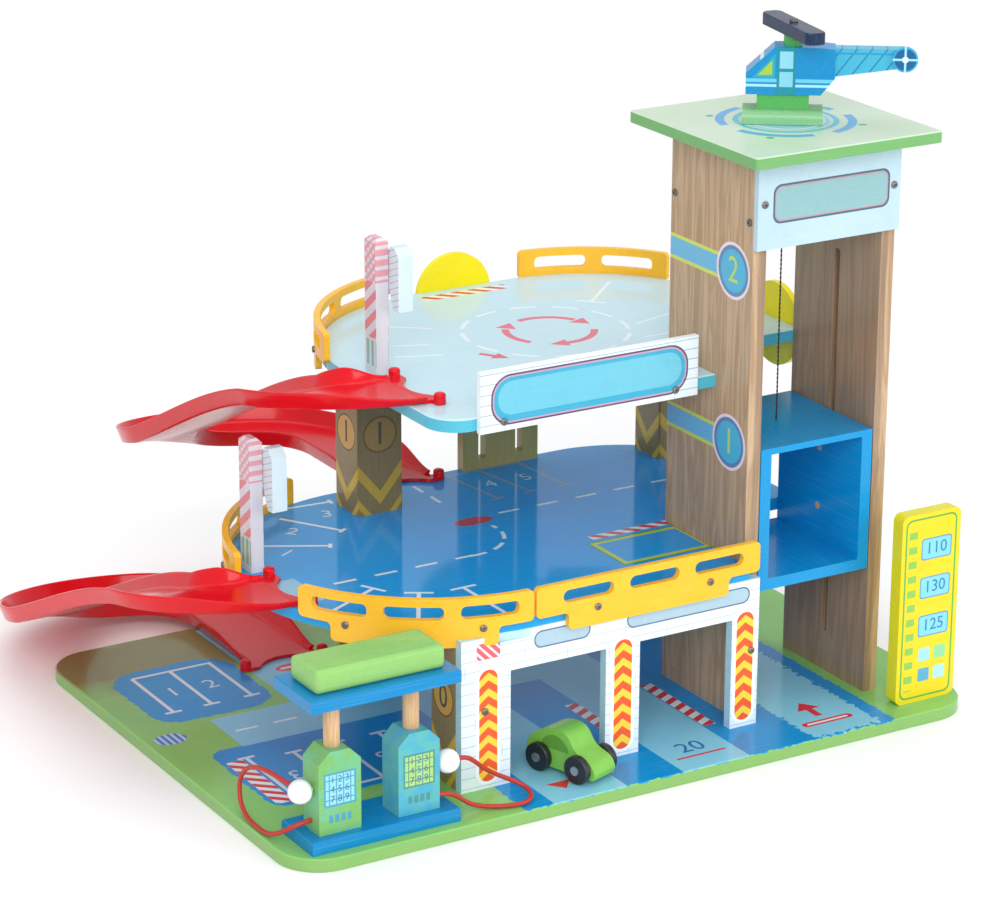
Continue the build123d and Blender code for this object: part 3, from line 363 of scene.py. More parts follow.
def strokes(x, y, width, *lines):
    return any_of(*[stroke(x, y, start, end, width) for start, end in lines])


def tees(x, y, width, cross, *lines):
    return any_of(*[tee(x, y, start, end, width, cross) for start, end in lines])


def ragged(paint, amount, size):
    """Uneven edge of brushed paving, in mm to add to a shape's distance."""
    return (paint.noise(size, 1) - 0.5) * (2 * amount)


def level_place(x, y, z, degrees):
    """Places flat text on a level top, millimetres in, metres out."""
    spot = Matrix.Translation((x / 1000, y / 1000, z / 1000))
    return spot @ Matrix.Rotation(math.radians(degrees), 4, "Z")


def mesh_of(made, name):
    mesh = bpy.data.meshes.new(name)
    made.to_mesh(mesh)
    made.free()
    return mesh


def numerals(name, marks, material, body):
    """Thin printed numerals as one piece: each mark is a text, its height in mm and its place."""
    size_of_height, ink_half, lifted = 1.38, 0.00004, 0.00006
    joined = bmesh.new()
    for text, height, place in marks:
        letters = bpy.data.curves.new(name, "FONT")
        letters.body = text
        letters.size = height / 1000 * size_of_height
        letters.align_x = "CENTER"
        letters.align_y = "CENTER"
        letters.resolution_u = 3
        letters.extrude = ink_half
        maker = bpy.data.objects.new(name + "_maker", letters)
        scene.collection.objects.link(maker)
        bpy.context.view_layer.update()
        flat = bpy.data.meshes.new_from_object(
            maker.evaluated_get(bpy.context.evaluated_depsgraph_get())
        )
        flat.transform(place @ Matrix.Translation((0, 0, lifted)))
        joined.from_mesh(flat)
        bpy.data.objects.remove(maker)
        bpy.data.meshes.remove(flat)
    return add_piece(name, mesh_of(joined, name), body, material, 30)


def ink(name, colour, roughness=0.3):
    """Screen ink: near-flat colour with a fine speckle and slightly uneven gloss."""
    paint = Paint(name)
    speckle = paint.noise(2.5)
    shade = paint.mix(speckle * 0.18, colour, "406080")
    return paint.finish(shade, speckle * 0.15 + roughness)


grass, grass_lit, ramp_shade_olive = "77bd5c", "93cb74", "857a55"
road, road_deep, ink_white, ink_red = "86cbe2", "008fd2", "e6eff3", "d92c38"
board_top, line_width, bay_cross = 10, 3.2, 14

board_paint = Paint("baseboard_print", Coat_Weight=0.1)
bx, by, bz = board_paint.axes
rough_edge = ragged(board_paint, 2.6, 6)
meadow = board_paint.mix(board_paint.noise(70, 3, 0.6), grass, grass_lit)
# Painted shade: a darker olive patch on the grass under the lower ramp's loop.
ramp_shade_patch = oval(bx, by, -225, 182, 120, 52) + (board_paint.noise(45, 4) - 0.5) * 70
meadow = board_paint.mix(ramp_shade_patch.edge(30) * 0.85, meadow, ramp_shade_olive)
paving = [
    cushion(bx, by, -275, -172, 50, 160, 26) + rough_edge,
    cushion(bx, by, -268, -98, -126, -12, 12) + rough_edge,
    tile(bx, by, -112, 222, -222, 110) + rough_edge,
]
roads = [
    tile(bx, by, -238, 60, -14, 44), tile(bx, by, -166, -100, 30, 215),
    tile(bx, by, -88, -25, -222, 60), tile(bx, by, 25, 85, -222, 60),
    tile(bx, by, 146, 209, -220, -20) + ragged(board_paint, 7, 5),
]
bay_lines = strokes(
    bx, by, line_width, ((-187, 70), (-187, 148)), ((-255, 148), (-185.5, 148)),
) | tees(bx, by, line_width, bay_cross, *[((x, 148), (x, 72)) for x in (-222, -255, -187)])
low_lines = stroke(bx, by, (-212, -117), (-135, -117), line_width) | tees(
    bx, by, line_width, bay_cross, ((-246, -110), (-246, -34)), ((-210, -116), (-210, -42)),
    ((-173, -117), (-173, -42)), ((-137, -117), (-137, -42)),
)
warning_strip = cushion(bx, by, -264, -250, -120, -36, 2)
lane_dashes = slab(by, 13.6, 16.4) & dashes(bx, 34, 20) & slab(bx, -230, 40)
drain = oval(bx, by, -280, 26, 13, 10)
stop_oval = oval(bx, by, -134, 108, 13, 7)
kerb_back, kerb_mid = tile(bx, by, 86, 97, -158, -66), tile(bx, by, 14, 25, -122, -70)
arrow_head = slab(by, -172, -158) & ((-158 - by) * 0.75 - abs(bx - 175))
prints = board_paint.layers(
    meadow, *[(shape, road_deep) for shape in paving], *[(shape, road) for shape in roads],
    (lane_dashes, ink_white), (bay_lines, "d8e2ea"), (low_lines, "d8e2ea"),
    (warning_strip, ink_white), (warning_strip & dashes(by + bx * 0.9, 13, 6.5), ink_red),
    (drain, "a9d6ee"), (drain & dashes(bx, 5.2, 2.6), "3b78c4"),
    (stop_oval, ink_red), (stop_oval & slab(by, 106.2, 109.8) & slab(bx, -143, -125), ink_white),
    (kerb_back, ink_white), (kerb_back & dashes(by - bx * 0.5, 13, 6.5), ink_red),
    (kerb_mid, ink_white), (kerb_mid & dashes(by - bx * 0.5, 13, 6.5), ink_red),
    (stroke(bx, by, (33, -201), (77, -201), 2.4), ink_red),
    (tile(bx, by, 172, 178, -186, -168), ink_red), (arrow_head, ink_red),
    (cushion(bx, by, 152, 198, -200.5, -193, 3.5), ink_red),
    (cushion(bx, by, 156, 194, -198, -195.5, 1.2), ink_white),
    (slab(by, -203, -190) & ((by + 203) * 0.8 - abs(bx + 66)), ink_red),
)
board_colour = board_paint.mix((bz - (board_top - 1)).edge(), "84b264", prints)
dress(lacquer(board_paint, board_colour, 0.2), "base_board")
ink_pale = ink("ink_pale_blue", "cfe3ee", 0.2)
numerals(
    "board_bay_numerals",
    [(figure, 17, level_place(x, y, board_top, turn)) for figure, x, y, turn in (
        ("1", -238, 108, 0), ("2", -205, 108, 0), ("3", -228, -80, 180), ("4", -192, -82, 180),
        ("5", -155, -82, 180),
    )],
    ink_pale, "garage",
)
numerals(
    "drive_numeral", [("20", 17, level_place(55, -186, board_top, 0))],
    ink("ink_drive_blue", "1c6fae"), "garage",
)

# ==== Lower deck
# Plywood floor sprayed deep blue, printed with lanes and bays and finished in high gloss.
# The ground pillars carry it.
lower_top = 140.5
deck_paint = Paint("lower_deck_print", Coat_Weight=0.16, Coat_Roughness=0.03)
dx, dy, dz = deck_paint.axes
arc_length = (dy + 2).math("ARCTAN2", dx + 52) * 44
lane_marks = any_of(
    slab(dy, -46.8, -43.6) & slab(dx, -176, -54) & dashes(dx, 35, 19, 8),
    hoop(dx, dy, -52, -2, 44, line_width) & slab(dx, -60, 40) & slab(dy, -60, 4)
    & dashes(arc_length, 25, 16, 5),
    slab(dy, 24.6, 27.6) & slab(dx, 0, 176) & dashes(dx, 36, 19, 34),
    strokes(dx, dy, 3, ((-17, 114), (-17, 98)), ((-17, 86), (-17, 70))),
)
bay_marks = tees(
    dx, dy, line_width, 22, ((-200, -92), (-154, -68)), ((-155, -138), (-129, -93)),
    ((-94, -160), (-95, -100)),
) | tees(
    dx, dy, line_width, 9, ((-188, 55), (-139, 28)), ((-145, 101), (-115, 53)),
    ((-129, 119), (-92, 116)),
)
right_bays = stroke(dx, dy, (18, 122), (88, 122), 2.6) | tees(
    dx, dy, 2.6, 12, ((19, 122), (28, 56)), ((48, 122), (59, 57)), ((86, 122), (91, 56)),
)
rim_length = (dy - 25).math("ARCTAN2", dx - 130) * 97
edge_bars = (
    hoop(dx, dy, 130, 25, 97, 7) & dashes(rim_length, 15, 7) & slab(dx, 120, 215)
    & slab(dy, 60, 130)
)
deck_hatch = cushion(dx, dy, 43, 118, -63, -54, 2)
panel_edge = tile(dx, dy, 36, 116, -120, -69)
deck_print = deck_paint.layers(
    deck_paint.mix(deck_paint.noise(120, 2), "0098e4", "08a4ea"),
    (lane_marks, ink_white), (bay_marks, ink_white), (right_bays, "8fa3bb"),
    (edge_bars, "4f9bd0"), (deck_hatch, ink_white),
    (deck_hatch & dashes(dx + dy, 15, 7.5), ink_red),
    (panel_edge & -tile(dx, dy, 40, 112, -116, -73), "c6cf45"),
    (tile(dx, dy, 34, 118, -122, -67) & -panel_edge, "3f9b5c"),
    (oval(dx, dy, -16, 20, 17, 8), "c43a52"), (tile(dx, dy, -235, -196, -70, -20), "8fc4dd"),
)
deck_colour = deck_paint.mix((dz - (lower_top - 0.9)).edge(), "0a9bdc", deck_print)
dress(lacquer(deck_paint, deck_colour, 0.1, 0.000004), "deck_1")
numerals(
    "lower_deck_numerals",
    [(figure, 15, level_place(x, y, lower_top, turn)) for figure, x, y, turn in (
        ("1", -176, 30, -60), ("2", -150, 70, -45), ("3", -108, 92, -20), ("4", 40, 88, 0),
        ("5", 73, 88, 0),
    )],
    ink_pale, "garage",
)


# ==== Upper deck
# The same floor in pale blue with a brighter edge: a turning circle of white dashes with
# red arrows, and hatching in front of the yellow disc.
def arrowhead(x, y, base, degrees, length, half):
    """Triangle that stands on a point and points along a direction."""
    along, across = turned(x, y, *base, degrees)
    return slab(along, 0, length) & ((length - along) * (half / length) - abs(across))


upper_top, turn_x, turn_y = 280, 60, 38
upper_paint = Paint("upper_deck_print", Coat_Weight=0.16, Coat_Roughness=0.03)
ux, uy, uz = upper_paint.axes
turn_angle = (uy - turn_y).math("ARCTAN2", ux - turn_x)
turn_ring = hoop(ux, uy, turn_x, turn_y, 66, 3.4) & dashes(turn_angle * 66, 34.5, 22)
ring_arrows = hoop(ux, uy, 64, turn_y, 35, 6) & dashes(turn_angle * 35, 73.3, 46)
arrow_tips = any_of(*[arrowhead(ux, uy, base, degrees, 15, 8.5) for base, degrees in (
    ((96.4, 51.3), -73), ((36.3, 59.4), 47), ((59.3, 3.3), 167),
)])
small_arrow = stroke(ux, uy, (-15, 13), (-7, 1), 5) | arrowhead(ux, uy, (-8, 2.5), -56, 13, 7.5)
upper_lines = tee(ux, uy, (178, 130), (134, 88), 3, 24) | strokes(
    ux, uy, 2.4, ((-70, 66), (-36, 52)), ((-45, 112), (-14, 88)), ((-76, 38), (-40, 24)),
    ((134, 20), (172, 30)), ((120, -14), (160, -14)),
)
upper_hatch = cushion(ux, uy, 20, 97, 155, 167, 2)
upper_print = upper_paint.layers(
    upper_paint.mix(upper_paint.noise(110, 2), "b9deea", "c8e2ec"),
    (turn_ring, "e4eef2"), (upper_lines, "e4eef2"), (ring_arrows, "e0647a"),
    (arrow_tips, "e0647a"), (small_arrow, "d65a70"), (upper_hatch, "e8eef0"),
    (upper_hatch & dashes(ux + uy, 15, 7.5), "cf3440"),
)
upper_colour = upper_paint.mix((uz - (upper_top - 0.9)).edge(), "4fb7cf", upper_print)
dress(lacquer(upper_paint, upper_colour, 0.1, 0.000004), "deck_2")


# ==== Lift tower panels
# Two walnut-veneered boards with upright grain under a clear lacquer. The outer left face
# carries the printed floor badges; the inner faces have the cabin's guide grooves and are
# painted darker, as shade between the panels.
def wall_place(x, y, z, run):
    """Places flat text on an upright face, where the text runs along run."""
    across, upward = Vector(run), Vector((0, 0, 1))
    turn = Matrix((across, upward, across.cross(upward))).transposed().to_4x4()
    return Matrix.Translation((x / 1000, y / 1000, z / 1000)) @ turn


def timber(paint, pale, dark, run, figure):
    """Colour and grain height of clear-lacquered wood whose grain runs along axis run."""
    broad, fine = [figure] * 3, [0.55] * 3
    broad[run], fine[run] = figure * 16, 26.0
    rings = paint.noise(broad, 5, 1.6, (3.1, 1.7, 0.4))
    pores = paint.noise(fine, 2, 0.2)
    bands = [(0.32, dark), (0.46, pale), (0.58, dark), (0.70, pale)]
    grown = paint.node("ShaderNodeValToRGB", {"stops": bands}, {0: rings})
    body = paint.mix((pores - 0.56).edge(0.18) * 0.35, grown, dark)
    return body, pores * 0.6 + rings * 0.4


left_run, front_run = (0, -1, 0), (1, 0, 0)
badge_heights = {"2": 366, "1": 231}
panel_paint = Paint("walnut_panel", Coat_Weight=0.25)
px, py, pz = panel_paint.axes
veneer, panel_grain = timber(panel_paint, "cbab88", "a98a69", 2, 14.0)
# Painted shade: the faces between the two panels are darkened towards deep brown.
veneer = panel_paint.mix(slab(px, 120, 238).edge(2) * 0.45, veneer, "6a5348")
outer_face = 114.8 - px
panel_inks = []
for badge_z in badge_heights.values():
    for half, colour in ((10, "cfd95a"), (7.2, "6ab6dc")):
        band = slab(py, -125, -54) & slab(pz, badge_z - half, badge_z + half)
        panel_inks.append((band & outer_face, colour))
    for radius, colour in ((22.0, "f0d7e2"), (19.6, "5b86b4"), (16.4, "4fb2d6")):
        panel_inks.append((disc(py, pz, -140, badge_z, radius) & outer_face, colour))
veneer = panel_paint.layers(veneer, *panel_inks)
panel_gloss = panel_paint.noise(14) * 0.2 + 0.22
panel_material = panel_paint.finish(veneer, panel_gloss, panel_grain, 0.00005)
dress(panel_material, "tower_panel_left", "tower_panel_right")
numerals(
    "tower_badge_numerals",
    [(figure, 21, wall_place(114.5, -140, z, left_run)) for figure, z in badge_heights.items()],
    ink("ink_badge_green", "c3dc6a"), "garage",
)

# ==== Tower header and battens
# White board screwed across the tower's front with a rounded bare plate printed on it, and
# the beech battens between the panels.
header_paint = Paint("header_print", Coat_Weight=0.1)
hx, hz = header_paint.x, header_paint.z
header_base = header_paint.patchy(60, "c2dae6", "b4d0e0")
header_print = header_paint.layers(
    header_base,
    (cushion(hx, hz, 128, 234, 407, 437, 7), "47697a"),
    (cushion(hx, hz, 129.6, 232.4, 408.6, 435.4, 6), "c58fa0"),
    (cushion(hx, hz, 130.6, 231.4, 409.6, 434.4, 5.4), "8fb9bd"),
)
header_colour = header_paint.mix((-165.2 - header_paint.y).edge(), header_base, header_print)
dress(lacquer(header_paint, header_colour, 0.28), "tower_header")


def beech_finish(name, run, figure=5.0, patches=8, gloss=0.42):
    """Bare beech whose grain runs along axis run."""
    paint = Paint(name)
    wood, grain = timber(paint, "dcb88d", "c69c6d", run, figure)
    return paint.finish(wood, paint.noise(patches, 2) * 0.2 + gloss, grain, 0.00006)


dress(beech_finish("beech_dowel", 2), "canopy_columns")
dress(
    beech_finish("beech_batten", 0), "tower_battens", "cabin_guide_pins", "winding_shaft",
    "barrier_pins",
)

# ==== Roof plate
# Pale green plywood roof with a brighter edge and a landing circle printed in blues. It lies
# on the tower's panels.
pad = (181, -108)
roof_paint = Paint("roof_print", Coat_Weight=0.1)
rx, ry, rz = roof_paint.axes
pad_turn = (ry - pad[1]).math("ARCTAN2", rx - pad[0])
pad_dots = any_of(*[
    disc(rx, ry, pad[0] + 58 * math.cos(a), pad[1] + 58 * math.sin(a), 3.2)
    for a in (0.8, 2.4, 3.9, 5.5)
])
roof_print = roof_paint.layers(
    roof_paint.patchy(50, "cfdecb", "c0d9b9"),
    (hoop(rx, ry, *pad, 50, 7) & dashes(pad_turn * 50, 78.5, 60), "4fa6dc"),
    (hoop(rx, ry, *pad, 38, 4.5), "4fbcd8"), (disc(rx, ry, *pad, 33), "8fcfe6"),
    (hoop(rx, ry, *pad, 29, 2.2), "dcebf0"), (pad_dots, "58b487"),
)
roof_colour = roof_paint.mix((rz - 465.6).edge(), "76b06c", roof_print)
dress(lacquer(roof_paint, roof_colour, 0.22), "roof_plate")

# ==== Lift cabin
# Open box of four blue lacquered boards that hangs on the lift cord. Beech pins in its sides
# run in the tower's grooves.
cabin_paint = Paint("cabin_blue", Coat_Weight=0.15)
cabin_material = lacquer(cabin_paint, "0092d0", 0.22, 0.00003, (0.7, 60, 0.7))
dress(cabin_material, "cabin_floor", "cabin_roof", "cabin_wall_left", "cabin_wall_right")

# ==== Lift cord
# Black two-ply cord, knotted under the cabin's ceiling, up through its roof and round the
# winding shaft, where its first turns lie side by side.
cord_paint = Paint("cord_black")
ply = cord_paint.noise(0.5, 2)
ply_black = cord_paint.mix(ply, "1b1c20", "3a3c42")
cord_material = cord_paint.finish(ply_black, ply * 0.2 + 0.6, ply, 0.0002)
cord_spot = Vector((0.17925, -0.110, 0.0))
shaft_centre = Vector((0.17925, -0.11685, 0.425))
cord_radius, ply_radius, ply_lay = 0.00075, 0.00042, 0.0035
drop_top, drop_foot, drop_steps = 0.4225, 0.2240, 230
wound_turns, wound_radius, wound_start, wound_pitch = 6.5, 0.00685, -0.0018, 0.0016


def circle(count):
    """Cosine and sine of evenly spaced directions."""
    turns = [2 * math.pi * k / count for k in range(count)]
    return [(math.cos(a), math.sin(a)) for a in turns]


def bridge(made, rings):
    """Faces from each closed ring of points to the next."""
    for one, two in zip(rings, rings[1:]):
        for k in range(len(one)):
            n = (k + 1) % len(one)
            made.faces.new((one[k], one[n], two[n], two[k]))


def ply_mesh(name, path, sides=6):
    """Two plies twisted round a path of closely spaced points."""
    made = bmesh.new()
    travelled = [0.0]
    for one, two in zip(path, path[1:]):
        travelled.append(travelled[-1] + (two - one).length)
    for strand in (0, 1):
        rings = []
        for i, spot in enumerate(path):
            forward = (path[min(i + 1, len(path) - 1)] - path[max(i - 1, 0)]).normalized()
            aside = forward.orthogonal().normalized()
            if i:
                aside = (previous - forward * previous.dot(forward)).normalized()
            previous = aside
            over = forward.cross(aside)
            twist = travelled[i] / ply_lay * math.pi + strand * math.pi
            offset = (aside * math.cos(twist) + over * math.sin(twist)) * (cord_radius - ply_radius)
            centre = spot + offset
            rings.append([
                made.verts.new(centre + (aside * c + over * s) * ply_radius)
                for c, s in circle(sides)
            ])
        bridge(made, rings)
        made.faces.new(list(reversed(rings[0])))
        made.faces.new(rings[-1])
    bmesh.ops.recalc_face_normals(made, faces=made.faces)
    return mesh_of(made, name)


drop = [
    cord_spot + Vector((0, 0, drop_top - i * (drop_top - drop_foot) / drop_steps))
    for i in range(drop_steps + 1)
]
cord_mesh = ply_mesh("lift_cord_plies", drop)
cord_mesh.materials.append(cord_material)
lift_cord = bpy.data.objects.new("lift_cord_plies", cord_mesh)
scene.collection.objects.link(lift_cord)
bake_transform(lift_cord)
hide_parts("lift_cord")
wound = []
for i in range(260):
    turn = 2 * math.pi * wound_turns * i / 259
    along = wound_start - wound_pitch * turn / (2 * math.pi)
    around = Vector((along, wound_radius * math.cos(turn), wound_radius * math.sin(turn)))
    wound.append(shaft_centre + around)
add_piece("winding_turns", ply_mesh("winding_turns", wound), "winder", cord_material)
dress(cord_material, "lift_cord_knot")

# ==== Winding knob
# Turned and fluted beech knob on the end of the shaft, outside the right panel. Turning it
# winds the lift cord.
dress(beech_finish("knob_beech", 0, 4.0, 6, 0.4), "winding_knob")

# ==== Front wall
# White board with two doorways, printed with level planks, chevron strips and two rounded
# bare plates, and screwed to the pillar and the tower.
wall_paint = Paint("front_wall_print", Coat_Weight=0.1)
wx, wy, wz = wall_paint.axes
plank, seam = 8.4, 0.7
butts = dashes(wx + (wz / plank).math("FLOOR") * 37, 88, seam) & slab(wz, 10, 131)
wall_inks = [(dashes(wz, plank, seam), "b9c9da"), (butts, "b9c9da")]
for strip_x in (-116, 1.2, 111.5):
    strip = cushion(wx, wz, strip_x - 7.8, strip_x + 7.8, 15.5, 104.5, 7.6)
    wall_inks += [
        (cushion(wx, wz, strip_x - 10.5, strip_x + 10.5, 13, 107, 10), "f3f8fb"),
        (strip, "f6cf3e"),
        (strip & dashes(wz - abs(wx - strip_x) * -0.75, 12.4, 6.4), "ee5a2c"),
    ]
for low_x, high_x, low_z, high_z in ((-77, -28, 112.6, 126.4), (4, 115, 112.0, 125.6)):
    wall_inks += [
        (cushion(wx, wz, low_x, high_x, low_z, high_z, 6.6), "5d7390"),
        (cushion(wx, wz, low_x + 1.2, high_x - 1.2, low_z + 1.2, high_z - 1.2, 5.5), "a9c4d4"),
    ]
wall_inks.append((cushion(wx, wz, -126, -106, 113, 126, 3) & dashes(wx + wz, 7, 4.6), "e0606a"))
wall_print = wall_paint.layers(wall_paint.patchy(70, "e9f1f4", "d9e8ef"), *wall_inks)
wall_colour = wall_paint.mix((-172.7 - wy).edge(), "b5dbe8", wall_print)
dress(lacquer(wall_paint, wall_colour, 0.28), "facade")

# ==== Pillars
# Square posts painted brown and olive, with yellow chevrons and a ringed floor number, their
# front and back faces darkened as painted shade. Three stand on the baseboard and two on the
# lower deck.
def pillar_finish(name, centre, bottom, badge_z, chevron_z):
    """Paint for one pillar, its badge and chevrons centred on each of its faces; its front and back
    faces get painted shade.
    """
    paint = Paint(name, Coat_Weight=0.25)
    x, y, z = paint.x - centre[0], paint.y - centre[1], paint.z
    # Front and back faces: they set the badge's axis and get painted shade below.
    front_back_shaded = (abs(y) - 17.8).edge(0.6)
    across = paint.switch(front_back_shaded, y, x)
    ground = paint.mix(paint.noise((3.0, 3.0, 60), 4), "a07a48", "84804a")
    ground = paint.mix(((z - bottom) / 90).held(0.0, 1.0) * 0.5, ground, "9c7c48")
    # Painted shade: the front and back faces darken, with shaded copies of the chevron and badge
    # yellows.
    ground = paint.mix(front_back_shaded * 0.55, ground, "5f5438")
    gold_lit_and_shaded = paint.mix(front_back_shaded * 0.55, "dcb52e", "7c6a30")
    badge_y = z - badge_z
    ring = 0.9 - abs(reach(across, badge_y) - 14.6)
    climb = z - abs(across) * 1.2
    shade = paint.layers(
        ground,
        (slab(climb, chevron_z, chevron_z + 11), gold_lit_and_shaded),
        (slab(climb, chevron_z - 24, chevron_z - 17), gold_lit_and_shaded),
        (15.8 - reach(across, badge_y), paint.mix(front_back_shaded, "dba53c", "93743a")),
        (ring, "6b4f22"),
    )
    return lacquer(paint, shade, 0.3, 0.00003, (0.7, 0.7, 50))


pillars = {
    "ground_pillar_front": ((-119, -146.5), board_top, 78, 22),
    "ground_pillar_left": ((-70, 91.5), board_top, 76, 22),
    "ground_pillar_right": ((210, 88.5), board_top, 76, 22),
    "deck_pillar_left": ((-70, 91.5), lower_top, 206, 148),
    "deck_pillar_right": ((210, 88.5), lower_top, 206, 148),
}
badge_ink = ink("ink_badge_brown", "4f3a1b")
for pillar_name, (centre, bottom, badge_z, chevron_z) in pillars.items():
    dress(pillar_finish(pillar_name + "_paint", centre, bottom, badge_z, chevron_z), pillar_name)
    figure = "0" if bottom == board_top else "1"
    numerals(
        pillar_name + "_numerals",
        [(figure, 19, wall_place(centre[0] - 20, centre[1], badge_z, left_run)),
         (figure, 19, wall_place(centre[0], centre[1] - 18.5, badge_z, front_run))],
        badge_ink, "garage",
    )

# ==== Slotted support
# Olive lacquered board between the decks at the back, cut with two tall slots. It helps the
# two pillars to carry the upper deck.
support_paint = Paint("support_olive", Coat_Weight=0.2)
support_olive = support_paint.mix(support_paint.noise((4, 4, 70), 4), "96905a", "aba068")
dress(lacquer(support_paint, support_olive, 0.3, 0.00003, (0.7, 0.7, 50)), "slotted_support")

# ==== Guard rails and edge discs
# Bent plywood rails in egg yellow, slotted and stepped, screwed to the decks' edges, and
# two lemon discs at the upper deck's rim.
rail_paint = Paint("rail_yellow", Coat_Weight=0.12)
rail_base = rail_paint.patchy((50, 50, 14), "ffc531", "fab526")
dress(
    lacquer(rail_paint, rail_base, 0.26, 0.00003, (14, 14, 0.8)), "rail_front_straight",
    "rail_front_curved", "rail_left_lower", "rail_left_upper", "rail_back_upper",
)
disc_paint = Paint("disc_lemon", Coat_Weight=0.12)
disc_colour = disc_paint.patchy(18, "ffee0c", "f8e40a")
dress(lacquer(disc_paint, disc_colour, 0.26), "edge_discs")

# ==== Sign board on the upper deck
# White planked board with a rounded cyan panel inside a dark line, left bare. Two screws
# hold it to the upper deck's front edge.
sign_paint = Paint("sign_print", Coat_Weight=0.1)
sx, sy, sz = sign_paint.axes
sign_base = sign_paint.layers(
    sign_paint.patchy(40, "e6eef1", "d8e8ef"),
    (dashes(sz, 7.8, 0.7, 3), "9fb2c4"),
    (dashes(sx, 63, 0.6, 20), "b4c4d2"),
    (cushion(sx, sz, -86, 86, 272, 311, 17), "5a4a66"),
    (cushion(sx, sz, -84.6, 84.6, 273.4, 309.6, 15.8), "c99ab4"),
    (cushion(sx, sz, -83.4, 83.4, 274.6, 308.4, 14.8), "3aa8c8"),
    (cushion(sx, sz, -80, 80, 279.5, 305.5, 12), "6cc0d6"),
)
sign_colour = sign_paint.mix((-124.7 - sy).edge(), "f2f6fa", sign_base)
dress(lacquer(sign_paint, sign_colour, 0.28), "billboard")


# ==== Ramps
# Two one-piece mouldings in glossy red plastic: a trough with rolled lips that swings out,
# loops round and comes back in. Forked ends lie on the floors, lugs pin them down.
ramp_half_floor, ramp_rim, ramp_skin = 30.0, 34.0, 2.4
ramp_low_wall, ramp_high_wall, ramp_lift = 5.0, 14.0, 0.4
ramp_lead, ramp_bend, ramp_run, ramp_turn, ramp_back = 15.0, 70.0, 196.0, 79.0, 107.0
ramp_quarter, ramp_loop = ramp_bend * math.pi / 2, ramp_turn * math.pi
ramp_length = ramp_lead + ramp_quarter + ramp_run + ramp_loop + ramp_back
fork = 14.0
fall_from, fall_to = 36.0, 0.70 * ramp_length


def ramp_plan(s):
    """Centre line of the track: place and heading, s mm along it."""
    if s <= ramp_lead:
        return -s, 0.0, math.pi
    s -= ramp_lead
    if s <= ramp_quarter:
        a = s / ramp_bend
        return -ramp_lead - ramp_bend * math.sin(a), ramp_bend * (1 - math.cos(a)), math.pi - a
    s -= ramp_quarter
    far = -ramp_lead - ramp_bend
    if s <= ramp_run:
        return far, ramp_bend + s, math.pi / 2
    s -= ramp_run
    if s <= ramp_loop:
        a = s / ramp_turn
        x = far + ramp_turn * (1 - math.cos(a))
        return x, ramp_bend + ramp_run + ramp_turn * math.sin(a), math.pi / 2 - a
    s -= ramp_loop
    return far + 2 * ramp_turn, ramp_bend + ramp_run - s, -math.pi / 2


def smooth(share):
    share = min(1.0, max(0.0, share))
    return share * share * (3 - 2 * share)


def ramp_section(wall):
    """Half of the trough's section, from the middle of its underside round the lip."""
    lean = (ramp_rim - ramp_half_floor) * wall / ramp_high_wall
    edge = ramp_half_floor + lean
    lip = 1.6
    return [
        (0, 0), (ramp_half_floor - 3, 0), (ramp_half_floor - 0.8, 0.5), (ramp_half_floor, 1.6),
        (edge - 0.2, wall - lip), (edge + 0.2, wall - lip * 0.4), (edge, wall + 0.1),
        (edge - 0.9, wall + 0.5), (edge - 2.0, wall + 0.2), (edge - 2.6, wall - lip * 0.6),
        (ramp_half_floor - ramp_skin + 0.2, ramp_skin + 2.4),
        (ramp_half_floor - 3.6, ramp_skin + 0.5), (ramp_half_floor - 6.5, ramp_skin),
        (0, ramp_skin),
    ]


